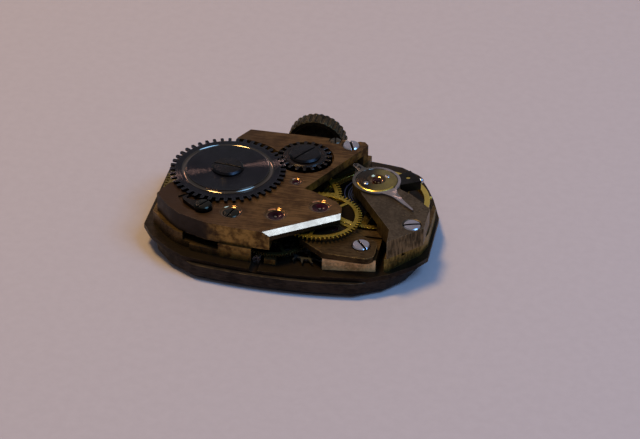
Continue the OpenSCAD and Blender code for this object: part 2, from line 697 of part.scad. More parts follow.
module upper_jewels() color("#7a1030") {
    for (c = [third_c, fourth_c]) at(c) jewel(ruby_r, pivot_r + 0.03, ruby_z, ruby_top);
    jewel(0.3, 0.13, bridge_under + 0.12, bridge_top - 0.08);
    for (c = [escape_c, pallet_c]) at(c)
        jewel(small_jewel_r, pivot_r + 0.03, escape_bridge_z + 0.06, escape_bridge_top - 0.04);
    at(balance_c) jewel(0.3, pivot_r + 0.03, bridge_top - 0.4, bridge_top - 0.1);
}

module plate_jewels() color("#7a1030") for (c = [third_c, fourth_c, escape_c, pallet_c, balance_c])
    at(c) jewel(plate_jewel_r, pivot_r + 0.03, plate_jewel_z, floor_z);

module bridge_screws() color("#cfc8d6") {
    at(rear_screw) slotted(screw_r, 0.27, shank_r, 1.5, bright_seat, 112);
    at(cock_screw) slotted(screw_r, 0.27, shank_r, 1.5, bright_seat, 18);
    at(escape_bridge_screw) slotted(screw_r, 0.27, shank_r, 0.9, escape_seat, 128);
}

module blued_screws() color("#4d4849") {
    at(front_screw) slotted(dark_head_r, 0.2, shank_r, 1.5, front_seat, 75);
    at(click_c) slotted(dark_head_r, 0.14, 0.2, 0.66, click_z + click_t + 0.02, 60);
}

module setting_lever_screw() color("#57504d") at(lever_pivot)
    slotted(lever_head_r, 0.2, lever_shank_r, lever_seat - keyless_z + 0.02, lever_seat, 100);

core_r = 0.66;

module crown_wheel_core() color("#8e8a90") at(crown_wheel_c)
    jewel(core_r, 0.3, winding_floor, crown_wheel_z + crown_wheel_t + 0.02);

module crown_wheel_screw() color("#2e2c31") at(crown_wheel_c)
    slotted(crown_screw_r, 0.16, 0.28, 0.8, crown_wheel_z + crown_wheel_t + 0.02, 58);

module ratchet_screw() color("#232228") at(barrel_c)
    slotted(ratchet_screw_r, ratchet_screw_h, 0.25, 0.7, ratchet_z + ratchet_t, 0);

regulator_dir = -46.1;
regulator_l = 3.98;
curb_dir = 137.3;
hairspring_r = 2.06;
hairspring_z = plate_top + 0.16;
hairspring_h = 0.13;
stud_dir = 26.6;
stud_c = balance_c + polar(hairspring_r, stud_dir);
stud_carrier_points = [[6.02, 2.05], [6.78, 2.77], [7.63, 1.73], [6.45, 1.02], [6.1, 1.1]];
stud_screw_dir = 16.4;

module stud_carrier() color("#5c5a63") difference() {
    prism(stud_carrier_points, cock_under + 0.08, bridge_top - 0.02);
    at(balance_c) rod(cock_head_r, 0, far);
    at(stud_c) rod(0.14, 0, far);
    at(stud_c) translate([0, 0, bridge_top - 0.3]) rotate([0, 90, stud_screw_dir]) cylinder(r = 0.09, h = 2, $fn = 32);
}

module hairspring_stud() color("#8f8b93") at(stud_c) rod(0.12, hairspring_z - 0.05, bridge_top - 0.05);

module stud_screw() color("#c9c4cf") at(stud_c) translate([0, 0, bridge_top - 0.3])
    rotate([0, 90, stud_screw_dir]) {
        translate([0, 0, 0.13]) cylinder(r = 0.07, h = 0.6, $fn = 32);
        translate([0, 0, 0.82]) sphere(r = 0.18, $fn = 48);
    }

// Click: a hub, a beak that the ratchet's teeth push aside, and a tail under the ratchet for the spring
click_z = bridge_top - 0.08;
click_t = 0.24;
click_spring_r = 3.46;
click_lift = 3.7;
click_in = 9.5;
click_tip = barrel_c + polar(ratchet_tip + 0.05, 242.6);
click_tip_engaged = click_c + [cos(-click_in) * (click_tip - click_c)[0] - sin(-click_in) * (click_tip - click_c)[1],
    sin(-click_in) * (click_tip - click_c)[0] + cos(-click_in) * (click_tip - click_c)[1]];

module click() color("#2c2b30") difference() {
    union() {
        at(click_c) rod(0.56, click_z, click_z + click_t);
        prism([click_tip, click_tip + polar(0.45, 262.6), click_c + [-0.35, 0.44], click_c + [-0.2, -0.52],
            click_c + [-1.35, 0.42], click_tip + polar(0.45, 222.6)], click_z, click_z + click_t);
        prism([click_c + [-0.2, 0.4], click_c + [0.12, 1.02], click_c + [0.34, 1.02], click_c + [0.28, 0.4]],
            click_z, ratchet_z - gap);
    }
    at(click_c) rod(0.24, 0, far);
}

module click_spring() color("#77737a") {
    at(barrel_c) difference() {
        rod(click_spring_r + 0.04, click_z, click_z + 0.08);
        rod(click_spring_r - 0.04, 0, far);
        prism([[0, 0], polar(9, 260), polar(9, 330), polar(9, 60), polar(9, 140), polar(9, 222)], 0, far);
    }
}

banking_r = 0.06;
function banking_place(side) = pallet_c + polar(3, dir(pallet_c, balance_c)) + polar(0.42 * side,
    dir(pallet_c, balance_c) + 90);

module banking_pins() color("#a8a4ab") for (side = [1, -1]) at(banking_place(side))
    rod(banking_r, floor_z - 0.1, escape_z + wheel_t + 0.06);

module setting_lever() color("#7d797f") difference() {
    union() {
        at(lever_pivot) rod(0.42, keyless_z, keyless_z + keyless_t);
        prism([[-0.17, groove_y - 0.17], [lever_pivot[0], groove_y - 0.3], [lever_pivot[0], groove_y + 0.3],
            [-0.17, groove_y + 0.17]], keyless_z, keyless_z + keyless_t);
        at([0, groove_y]) rod(stud_r, keyless_z, stem_z - 0.23);
    }
    at(lever_pivot) rod(lever_shank_r + gap, 0, far);
}

module setting_lever_spring() color("#86828a")
    prism([[-2.2, 3.35], [-0.4, 3.35], [0.5, 4.6], [2.1, 4.75], [2.1, 5.85], [-2.2, 5.85]],
        plate_low + 0.02, keyless_z - gap);

module yoke() color("#7d797f") difference() {
    union() {
        at(yoke_pivot) rod(0.42, keyless_z, keyless_z + keyless_t);
        prism([yoke_pivot + [0, -0.25], [-0.05, yoke_groove_y - 0.12], [-0.05, yoke_groove_y + 0.12],
            yoke_pivot + [0, 0.25]], keyless_z, keyless_z + keyless_t);
        at([-0.15, yoke_groove_y]) rod(0.09, keyless_z, stem_z - 0.51);
    }
    at(yoke_pivot) rod(post_r + gap, 0, far);
}

module regulator() color("#b7b0c4") at(balance_c) {
    z0 = bridge_top + 0.02;
    z1 = z0 + 0.12;
    difference() {
        union() {
            rod(cap_r + 0.04 + regulator_w, z0, z1);
            rotate([0, 0, regulator_dir]) prism([[1.2, -0.7], [1.62, -0.42], [2, -0.24], [2.7, -0.13],
                [regulator_l - 0.1, -0.06], [regulator_l, 0], [regulator_l - 0.1, 0.06], [2.7, 0.13],
                [2, 0.24], [1.62, 0.42], [1.2, 0.7]], z0, z1);
            rotate([0, 0, curb_dir]) prism([[1.2, -0.45], [1.6, -0.26], [hairspring_r + 0.14, -0.2],
                [hairspring_r + 0.3, 0], [hairspring_r + 0.14, 0.2], [1.6, 0.26], [1.2, 0.45]], z0, z1);
        }
        rod(cap_r + 0.04, 0, far);
    }
    rotate([0, 0, curb_dir]) for (r = [hairspring_r - 0.1, hairspring_r + 0.1])
        translate([r, 0, 0]) rod(0.045, hairspring_z - 0.04, z1 + 0.03);
}

// The hairspring is a flat strip: concentric from the stud past the curb pins, then a spiral to the collet
collet_r = 0.38;
spring_in = collet_r + gap + hairspring_t;
free_arc = 130;
spring_steps = 30;
step_arc = 70;
coil_r = hairspring_r - 0.18;
function hair_r(a) = a < free_arc ? hairspring_r
    : max(hairspring_r - (hairspring_r - coil_r) * (a - free_arc) / step_arc, coil_r)
    - (coil_r - spring_in) * (a - free_arc) / (360 * hairspring_turns - free_arc);
hair_a = [for (i = [0:hairspring_turns * spring_steps]) 360 * i / spring_steps];
hair_start = stud_dir + 5;
echo("least gap of the hairspring to itself", (coil_r - spring_in)
    / (hairspring_turns - free_arc / 360) - hairspring_t);

module hairspring() color("#3d4258") at(balance_c) prism(concat(
    [for (a = hair_a) polar(hair_r(a) + hairspring_t / 2, hair_start + a)],
    [for (i = [len(hair_a) - 1:-1:0]) polar(hair_r(hair_a[i]) - hairspring_t / 2, hair_start + hair_a[i])]),
    hairspring_z, hairspring_z + hairspring_h);

staff_r = 0.14;

module hairspring_collet() color("#a98f45") at(balance_c)
    jewel(collet_r, staff_r, hairspring_z - 0.02, hairspring_z + hairspring_h + 0.04);

arm_dir = -96;
balance_screw_n = 8;
module balance_wheel() color("#d9ab3c") at(balance_c) difference() {
    rod(balance_r, balance_z, balance_z + balance_rim_h);
    arm_gaps(2, 0.55, balance_r - balance_rim_w, 0.42, balance_z, balance_rim_h, arm_dir);
    difference() {
        rod(balance_r - balance_rim_w, balance_z + 0.18, far);
        rod(0.3, 0, far + 1);
    }
    rod(balance_r - balance_rim_w, 0, balance_z + 0.04);
    rod(staff_r, 0, far);
    for (k = [0:balance_screw_n - 1]) rotate([0, 90, arm_dir + 360 * (k + 0.5) / balance_screw_n])
        translate([-balance_z - balance_rim_h / 2, 0, balance_r - 0.2]) cylinder(r = 0.07, h = 1, $fn = 24);
}

module balance_screws() color("#e0b95a") at(balance_c)
    for (k = [0:balance_screw_n - 1]) rotate([0, 90, arm_dir + 360 * (k + 0.5) / balance_screw_n])
        translate([-balance_z - balance_rim_h / 2, 0, 0]) {
            translate([0, 0, balance_r - 0.19]) cylinder(r = 0.06, h = 0.25, $fn = 24);
            translate([0, 0, balance_r + 0.01]) cylinder(r = 0.13, h = 0.13, $fn = 32);
        }

roller_z = escape_z + wheel_t + 0.1;

module balance_staff() color("#9a969d") at(balance_c) {
    rod(pivot_r, plate_jewel_z + 0.04, floor_z + 0.06);
    rod(staff_r, floor_z + 0.06, bridge_top - 0.5);
    rod(0.3, balance_z - 0.06, balance_z + 0.04);
    rod(pivot_r, bridge_top - 0.5, bridge_top - 0.06);
}

module roller() color("#8e8a91") at(balance_c) jewel(0.52, staff_r, roller_z, roller_z + 0.14);

pin_r = 0.42;

module impulse_jewel() color("#7a1030") at(balance_c + polar(pin_r, dir(balance_c, pallet_c)))
    rod(0.06, escape_z + wheel_t + 0.015, roller_z);

fork_l = norm(balance_c - pallet_c);
function stone_place(side) = escape_c + polar(escape_r + 0.19, pallet_dir + 30 * side);

module stone(side, z0, z1) at(stone_place(side)) rotate([0, 0, pallet_dir + 30 * side])
    translate([-0.15, -0.06, z0]) cube([0.34, 0.12, z1 - z0]);

module pallet_fork() color("#8a868d") {
    z1 = escape_z + wheel_t;
    difference() {
        union() {
            at(pallet_c) rotate([0, 0, dir(pallet_c, balance_c)]) prism([[-0.1, 0.13], [0.5, 0.12],
                [fork_l - 1.1, 0.06], [fork_l - 0.9, 0.2], [fork_l - 0.44, 0.24], [fork_l - 0.36, 0.1],
                [fork_l - 0.6, 0.09], [fork_l - 0.6, -0.09], [fork_l - 0.36, -0.1], [fork_l - 0.44, -0.24],
                [fork_l - 0.9, -0.2], [fork_l - 1.1, -0.06], [0.5, -0.12], [-0.1, -0.13]], escape_z, z1);
            at(pallet_c) rod(0.24, escape_z, z1);
            for (side = [1, -1]) prism([pallet_c + polar(0.1, pallet_dir), stone_place(side) + polar(0.2, pallet_dir),
                stone_place(side) + polar(0.16, pallet_dir + 110 * side), stone_place(side) + polar(0.07, pallet_dir + 180),
                pallet_c + polar(0.14, pallet_dir + 180)], escape_z, z1);
        }
        for (side = [1, -1]) stone(side, 0, far);
    }
    at(pallet_c) rod(0.1, floor_z + 0.03, escape_bridge_z - 0.03);
    at(pallet_c) rod(pivot_r, plate_jewel_z + 0.04, escape_bridge_top - 0.1);
}

module pallet_jewels() color("#7a1030") for (side = [1, -1]) stone(side, escape_z - 0.02, escape_z + wheel_t + 0.02);

// Club teeth that lean the way the wheel turns
escape_tooth = [[0.74, -6], [0.95, 0.5], [0.985, 2.2], [1, 5], [0.93, 3.6], [0.82, 2.6], [0.74, 3.5]];

module escape_wheel() color("#8b8378") at(escape_c) difference() {
    translate([0, 0, escape_z]) linear_extrude(wheel_t) polygon([for (k = [0:escape_n - 1])
        for (p = escape_tooth) polar(p[0] * escape_r, 360 * k / escape_n + p[1])]);
    arm_gaps(4, 0.34, escape_r * 0.62, 0.16, escape_z, wheel_t, 20);
    rod(0.2, 0, far);
}

// An arbor with its two pivots and the seat of a wheel
module arbor(low, high, seat_z, seat_r, r, pivot_low, pivot_high) {
    rod(r, low, high);
    rod(seat_r, seat_z - 0.02, seat_z + wheel_t + 0.02);
    rod(pivot_r, pivot_low, low + 0.01);
    rod(pivot_r, high - 0.01, pivot_high);
}

fine_arbor_r = 0.1;

module escape_pinion() color("#9a969d") at(escape_c) {
    arbor(floor_z + 0.03, escape_bridge_z - 0.03, escape_z, 0.2, fine_arbor_r, plate_jewel_z + 0.04,
        escape_bridge_top - 0.1);
    leaves(escape_pinion_n, fine_module, fourth_n, fourth_z - 0.1, wheel_t + 0.2, escape_pinion_phase);
}

module train_wheel(n, m, mate, z, arms, arm_w, phase, turn) difference() {
    gear(n, m, mate, z, wheel_t, phase);
    arm_gaps(arms, 0.5, m * (n / 2 - tooth_ded) - 0.22, arm_w, z, wheel_t, turn);
}

module fourth_wheel() color("#8d8168") at(fourth_c) difference() {
    train_wheel(fourth_n, fine_module, escape_pinion_n, fourth_z, 4, 0.2, 0, 30);
    rod(0.2, 0, far);
}

module fourth_pinion() color("#9a969d") at(fourth_c) {
    arbor(floor_z + 0.03, bridge_under - 0.02, fourth_z, 0.2, arbor_r, plate_jewel_z + 0.04, ruby_top - 0.06);
    leaves(fourth_pinion_n, third_module, third_n, third_z - 0.09, wheel_t + 0.13, fourth_pinion_phase);
}

module third_wheel() color("#d2a02c") at(third_c) difference() {
    train_wheel(third_n, third_module, fourth_pinion_n, third_z, 5, 0.2, 0, -22);
    rod(0.2, 0, far);
}

module third_pinion() color("#9a969d") at(third_c) {
    arbor(floor_z + 0.03, bridge_under - 0.02, third_z, 0.2, arbor_r, plate_jewel_z + 0.04, ruby_top - 0.06);
    leaves(third_pinion_n, centre_module, centre_n, centre_z - 0.09, third_z - centre_z + 0.07, third_pinion_phase);
}

module centre_wheel() color("#c79a33") difference() {
    train_wheel(centre_n, centre_module, third_pinion_n, centre_z, 5, 0.24, 0, 10);
    rod(0.3, 0, far);
}

module centre_pinion() color("#9a969d") {
    rod(centre_arbor_r, cannon_low + 0.1, bridge_under - 0.02);
    rod(0.3, centre_z - 0.04, centre_z + wheel_t + 0.02);
    rod(0.1, bridge_under - 0.03, bridge_top - 0.14);
    leaves(centre_pinion_n, barrel_module, barrel_n, barrel_top - rim_h - 0.08, centre_z - barrel_top + rim_h + 0.04,
        centre_pinion_phase);
}

cannon_low = 0.05;
hour_low = 0.32;
// How much each post narrows above the seat of its hand
hand_taper = 0.03;
hour_z = plate_low + 0.05;
cannon_z = dial_side - 0.18;

module narrowing(r, z0, z1) translate([0, 0, z0]) cylinder(r1 = r, r2 = r - hand_taper, h = z1 - z0, $fn = 64);

module cannon_pinion() color("#a09ca3") difference() {
    union() {
        rod(hand_post_r, cannon_low, hour_low - gap);
        narrowing(hand_post_r, hour_low - gap, cannon_z + 0.01);
        leaves(cannon_n, motion_module, minute_n, cannon_z, 0.14, 0);
    }
    rod(centre_arbor_r, cannon_low + 0.1, far);
}

module hour_wheel() color("#c39f4a") difference() {
    union() {
        rod(hour_pipe_r, hour_low, dial_z - gap);
        narrowing(hour_pipe_r, dial_z - gap, hour_z + 0.1);
        gear(hour_n, hour_module, minute_pinion_n, hour_z, 0.1, hour_phase);
    }
    rod(hand_post_r + gap, 0, far);
}

module minute_wheel() color("#c39f4a") at(minute_c) difference() {
    union() {
        gear(minute_n, motion_module, cannon_n, cannon_z + 0.03, 0.09, minute_phase);
        leaves(minute_pinion_n, hour_module, hour_n, hour_z - 0.01, cannon_z + 0.05 - hour_z, 0);
    }
    rod(post_r + gap, 0, far);
}

module setting_wheel() color("#8e8a91") at(setting_c) difference() {
    union() {
        gear(setting_n, motion_module, minute_n, cannon_z + 0.01, 0.13, setting_phase);
        rod(0.5, cannon_z + 0.01, floor_z + 0.04);
    }
    rod(post_r + gap, 0, far);
}

module barrel_drum() color("#b08a3c") at(barrel_c) difference() {
    union() {
        rod(drum_r, barrel_z, barrel_top);
        gear(barrel_n, barrel_module, centre_pinion_n, barrel_top - rim_h, rim_h, 0, tooth_share, 2);
    }
    rod(drum_r - drum_wall, barrel_z + 0.15, barrel_top - 0.14);
    rod(drum_r - drum_wall / 2, barrel_top - 0.14, far);
    rod(0.35 + gap, 0, far);
}

module barrel_cover() color("#ab8a45") at(barrel_c)
    jewel(drum_r - drum_wall / 2, 0.62, barrel_top - 0.14, barrel_top);

// The mainspring, half let down: a strip that winds from the arbor's hub to the drum's wall
spring_hub_r = 1.1;
mainspring_in = spring_hub_r + gap + mainspring_t / 2;
mainspring_out = drum_r - drum_wall - gap - mainspring_t / 2;
function main_r(a) = mainspring_in + (mainspring_out - mainspring_in) * a / (360 * mainspring_turns);
main_a = [for (i = [0:mainspring_turns * 24]) 15 * i];
echo("least gap of the mainspring to itself", (mainspring_out - mainspring_in) / mainspring_turns - mainspring_t);

module mainspring() color("#5d6070") at(barrel_c) prism(concat(
    [for (a = main_a) polar(main_r(a) + mainspring_t / 2, a)],
    [for (i = [len(main_a) - 1:-1:0]) polar(main_r(main_a[i]) - mainspring_t / 2, main_a[i])]),
    barrel_z + 0.2, barrel_top - 0.2);

module barrel_arbor() color("#9a969d") at(barrel_c) difference() {
    union() {
        rod(0.35, plate_low + 0.2, barrel_top);
        rod(spring_hub_r, barrel_z + 0.19, barrel_top - 0.18);
        rod(0.58, barrel_top - 0.2, ratchet_z);
        translate([-0.4, -0.4, ratchet_z - 0.01]) cube([0.8, 0.8, ratchet_t - 0.02]);
    }
    rod(0.25, ratchet_z + ratchet_t - 0.72, far);
}

ratchet_phase = dir(barrel_c, click_tip_engaged) - 180 / ratchet_n;
crown_phase = mesh(barrel_c, crown_wheel_c, ratchet_n, ratchet_phase, crown_wheel_n);

module ratchet_wheel() color("#2b2a31") at(barrel_c) difference() {
    union() {
        translate([0, 0, ratchet_z]) rotate([0, 0, ratchet_phase]) linear_extrude(ratchet_t - 0.1)
            polygon(toothed(ratchet_n, winding_module, crown_wheel_n, winding_add, winding_ded, tooth_share));
        rotate_extrude($fn = 96) polygon([[0, ratchet_z], [ratchet_step_r, ratchet_z],
            [ratchet_step_r, ratchet_z + ratchet_t - 0.1], [ratchet_step_r - 0.08, ratchet_z + ratchet_t],
            [0, ratchet_z + ratchet_t]]);
    }
    translate([-0.41, -0.41, 0]) cube([0.82, 0.82, far]);
}

module crown_wheel() color("#2d2b31") at(crown_wheel_c) difference() {
    union() {
        translate([0, 0, crown_wheel_z]) rotate([0, 0, crown_phase]) linear_extrude(crown_wheel_t - 0.05)
            polygon(toothed(crown_wheel_n, winding_module, ratchet_n, winding_add, winding_ded, tooth_share));
        rod(1.3, crown_wheel_z, crown_wheel_z + crown_wheel_t);
    }
    rod(core_r + gap, 0, far);
}

// The winding pinion's leaf stands in the crown wheel's gap that is nearest to the stem
crown_pitch = 360 / crown_wheel_n;
gap_turn = (crown_phase + crown_pitch / 2 - 90) % crown_pitch;
gap_off = gap_turn > crown_pitch / 2 ? gap_turn - crown_pitch : gap_turn;
winding_phase = -gap_off * crown_wheel_n / winding_pinion_n;

// Turns a shape that is drawn along +Z so that it lies along the stem, with its +X up
module on_stem(y) translate([0, y, stem_z]) rotate([-90, 0, 0]) rotate([0, 0, -90]) children();

module winding_pinion() color("#8e8a91") difference() {
    union() {
        on_stem(pinion_y) cylinder(r = winding_body_r, h = pinion_end - pinion_y, $fn = 64);
        for (k = [0:winding_pinion_n - 1]) translate([0, 0, stem_z])
            rotate([0, winding_phase + 360 * k / winding_pinion_n, 0])
                translate([-0.06, pinion_y + 0.06, 0]) cube([0.12, 0.27, winding_r]);
        for (k = [0:5]) translate([0, 0, stem_z]) rotate([0, 60 * k, 0])
            translate([-0.09, clutch_end - 0.07, neck_r + 0.1]) cube([0.18, 0.2, 0.26]);
    }
    on_stem(pinion_y - over) cylinder(r = neck_r + gap, h = 3, $fn = 48);
}

module clutch() color("#85818a") difference() {
    union() {
        on_stem(clutch_y) linear_extrude(0.2) polygon(toothed(16, 0.088, 16, 0.6, 1.2, 0.5, 1));
        on_stem(clutch_y + 0.1) cylinder(r = clutch_r - 0.1, h = 0.6, $fn = 64);
        on_stem(yoke_groove_y + 0.115) cylinder(r = clutch_r, h = clutch_end - yoke_groove_y - 0.115, $fn = 64);
    }
    translate([0, yoke_groove_y, stem_z]) rotate([-90, 0, 0]) difference() {
        translate([0, 0, -0.115]) cylinder(r = 2, h = 0.23, $fn = 64);
        translate([0, 0, -1]) cylinder(r = 0.45, h = 2, $fn = 64);
    }
    translate([-square_w / 2 - 0.02, clutch_y - over, stem_z - square_w / 2 - 0.02])
        cube([square_w + 0.04, 3, square_w + 0.04]);
    for (k = [0:5]) translate([0, 0, stem_z]) rotate([0, 60 * k, 0])
        translate([-0.13, clutch_end - 0.11, neck_r + 0.05]) cube([0.26, 0.2, 1]);
}

module stem() color("#a6a2a9") {
    on_stem(saddle_y + 0.02) cylinder(r = pilot_r, h = 0.9, $fn = 48);
    translate([-square_w / 2, saddle_end + 0.06, stem_z - square_w / 2])
        cube([square_w, clutch_end - saddle_end - 0.05, square_w]);
    on_stem(clutch_end + 0.01) cylinder(r = neck_r, h = groove_y - groove_w / 2 - clutch_end - 0.01, $fn = 48);
    on_stem(groove_y - groove_w) cylinder(r = 0.2, h = 2 * groove_w, $fn = 48);
    on_stem(groove_y + groove_w / 2) cylinder(r = stem_r, h = crown_y + 0.5 - groove_y - groove_w / 2, $fn = 64);
}

knurls = 30;
knurl_r = 0.12;

module crown() color("#6d5a3e") difference() {
    on_stem(crown_y) rotate_extrude($fn = 96) polygon([[0, 0.18], [stem_r + 0.3, 0.18], [stem_r + 0.3, 0.05],
        [stem_r + 0.55, 0.18], [crown_r - 0.32, 0.18], [crown_r - 0.32, 0], [crown_r - 0.08, 0], [crown_r, 0.08],
        [crown_r, crown_t - 0.22], [crown_r - 0.25, crown_t - 0.06], [crown_r - 0.8, crown_t], [0, crown_t]]);
    on_stem(crown_y - over) cylinder(r = stem_r, h = 0.5 + over, $fn = 64);
    for (k = [0:knurls - 1]) on_stem(crown_y - over) rotate([0, 0, 360 * k / knurls])
        translate([crown_r + 0.03, 0, 0]) cylinder(r = knurl_r, h = crown_t + 2 * over, $fn = 24);
}

casing_ring();
dial();
mainplate();
barrel_bridge();
escape_bridge();
balance_cock();
upper_jewels();
plate_jewels();
jewel_cap();
cap_jewel();
cap_screws();
bridge_screws();
blued_screws();
setting_lever_screw();
crown_wheel_screw();
crown_wheel_core();
ratchet_screw();
stud_carrier();
hairspring_stud();
stud_screw();
click();
click_spring();
banking_pins();
dial_foot_screws();
setting_lever();
setting_lever_spring();
yoke();
regulator();
hairspring();
hairspring_collet();
balance_wheel();
balance_screws();
balance_staff();
roller();
impulse_jewel();
pallet_fork();
pallet_jewels();
escape_wheel();
escape_pinion();
fourth_wheel();
fourth_pinion();
third_wheel();
third_pinion();
centre_wheel();
centre_pinion();
cannon_pinion();
hour_wheel();
minute_wheel();
setting_wheel();
barrel_drum();
barrel_cover();
mainspring();
barrel_arbor();
ratchet_wheel();
crown_wheel();
winding_pinion();
clutch();
stem();
crown();
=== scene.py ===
"""A small shaped watch movement, bridges up, in its dark casing ring on a pale table."""
import json
import math

import bpy
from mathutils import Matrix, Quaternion, Vector

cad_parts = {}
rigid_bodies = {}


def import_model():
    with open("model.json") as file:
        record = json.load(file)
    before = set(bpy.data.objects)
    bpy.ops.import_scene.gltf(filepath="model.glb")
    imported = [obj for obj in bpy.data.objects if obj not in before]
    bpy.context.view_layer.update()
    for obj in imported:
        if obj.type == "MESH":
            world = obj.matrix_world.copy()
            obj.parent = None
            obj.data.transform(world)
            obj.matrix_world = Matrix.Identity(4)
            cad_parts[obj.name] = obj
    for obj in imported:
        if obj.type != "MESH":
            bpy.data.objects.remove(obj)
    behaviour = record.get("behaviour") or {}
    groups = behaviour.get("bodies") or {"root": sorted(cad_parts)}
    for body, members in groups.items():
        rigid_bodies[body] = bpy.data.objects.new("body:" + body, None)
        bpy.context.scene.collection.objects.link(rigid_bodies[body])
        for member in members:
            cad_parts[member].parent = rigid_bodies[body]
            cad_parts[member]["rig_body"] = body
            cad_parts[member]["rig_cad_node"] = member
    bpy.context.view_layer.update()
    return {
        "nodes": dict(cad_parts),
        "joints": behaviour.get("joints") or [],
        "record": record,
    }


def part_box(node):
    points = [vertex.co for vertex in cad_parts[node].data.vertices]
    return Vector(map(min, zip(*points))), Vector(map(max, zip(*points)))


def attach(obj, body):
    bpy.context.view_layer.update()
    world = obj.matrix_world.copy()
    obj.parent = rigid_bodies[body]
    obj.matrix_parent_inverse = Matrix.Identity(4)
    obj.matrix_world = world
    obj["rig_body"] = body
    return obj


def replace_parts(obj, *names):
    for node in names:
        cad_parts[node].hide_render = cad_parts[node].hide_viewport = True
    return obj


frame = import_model()

# Pieces are shaped in millimetres and set down in metres
MM = 0.001
BODY_OF = {node: body for body, nodes in frame["record"]["behaviour"]["bodies"].items() for node in nodes}
SLOT_OF = {part["node"]: part["material_slot"] for part in frame["record"]["subparts"]}


def corners(node):
    """Lowest and highest corner of a solid."""
    low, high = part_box(node)
    return low / MM, high / MM


def joint_place(name):
    joint = next(j for j in frame["joints"] if j["name"] == name)
    return Vector(joint["pos_m"]) / MM


BARREL = joint_place("ratchet_spin")
CROWN_WHEEL = joint_place("crown_wheel_spin")
BALANCE = joint_place("balance_swing")


# Camera, light and table

PHOTO_WIDTH = 640
PIXELS_PER_MM = 16.07
VIEW_TURN = math.radians(10.8)
VIEW_RISE = math.radians(33.95)
VIEW_ROLL = math.radians(0.7)
VIEW_DISTANCE = 141
VIEW_TARGET = Vector((1.79, -1.24, 1.73))
TABLE_WIDTH = 900


def add_camera():
    """A long lens from the front, a little to the right and above."""
    back = Vector((math.sin(VIEW_TURN) * math.cos(VIEW_RISE), -math.cos(VIEW_TURN) * math.cos(VIEW_RISE),
                   math.sin(VIEW_RISE)))
    lens = bpy.data.cameras.new("photo_lens")
    lens.sensor_width = 36
    lens.lens = PIXELS_PER_MM * VIEW_DISTANCE * lens.sensor_width / PHOTO_WIDTH
    lens.clip_start = 0.001
    camera = bpy.data.objects.new("photo_camera", lens)
    camera.location = (VIEW_TARGET + back * VIEW_DISTANCE) * MM
    camera.rotation_euler = (back.to_track_quat("Z", "Y") @ Quaternion((0, 0, 1), VIEW_ROLL)).to_euler()
    bpy.context.scene.collection.objects.link(camera)
    bpy.context.scene.camera = camera


def add_softbox(name, towards, distance, size, power, colour):
    """A square lamp that faces the movement from a direction, with its distance and size in millimetres."""
    lamp = bpy.data.lights.new(name, "AREA")
    lamp.size = size * MM
    lamp.energy = power
    lamp.color = colour
    holder = bpy.data.objects.new(name, lamp)
    direction = Vector(towards).normalized()
    holder.location = direction * distance * MM
    holder.rotation_euler = direction.to_track_quat("Z", "Y").to_euler()
    bpy.context.scene.collection.objects.link(holder)


def add_light():
    """A warm lamp over the left side, a cool window at the right, and a dim room behind."""
    add_softbox("lamp", (-0.28, 0.12, 0.95), 300, 60, 0.655, (1.0, 0.69, 0.26))
    add_softbox("window", (0.55, -0.13, 0.83), 250, 120, 0.39, (0.22, 0.55, 1.0))
    add_softbox("room_wall", (-0.1, 0.86, 0.5), 300, 220, 0.02, (1.0, 0.86, 0.95))
    add_softbox("far_lamp", (-0.388, 0.725, 0.569), 250, 18, 0.018, (1.0, 0.6, 0.42))
    world = bpy.data.worlds.new("room")
    bpy.context.scene.world = world
    world.use_nodes = True
    room = world.node_tree.nodes["Background"]
    room.inputs["Color"].default_value = (0.82, 0.92, 1.0, 1)
    room.inputs["Strength"].default_value = 0.22


# Materials: an output socket that takes sums and products, and a finish that is built with it

class Wire:
    """An output socket of a finish; arithmetic on it adds Math nodes."""

    def __init__(self, finish, socket):
        self.finish = finish
        self.socket = socket

    def math(self, operation, *values):
        return self.finish.add("ShaderNodeMath", {"operation": operation}, dict(enumerate(values)))

    def __add__(self, other):
        return self.math("ADD", self, other)

    __radd__ = __add__

    def __sub__(self, other):
        return self.math("SUBTRACT", self, other)

    def __rsub__(self, other):
        return self.math("SUBTRACT", other, self)

    def __mul__(self, other):
        return self.math("MULTIPLY", self, other)

    __rmul__ = __mul__

    def clamped(self):
        return self.finish.add("ShaderNodeClamp", {}, {"Value": self})


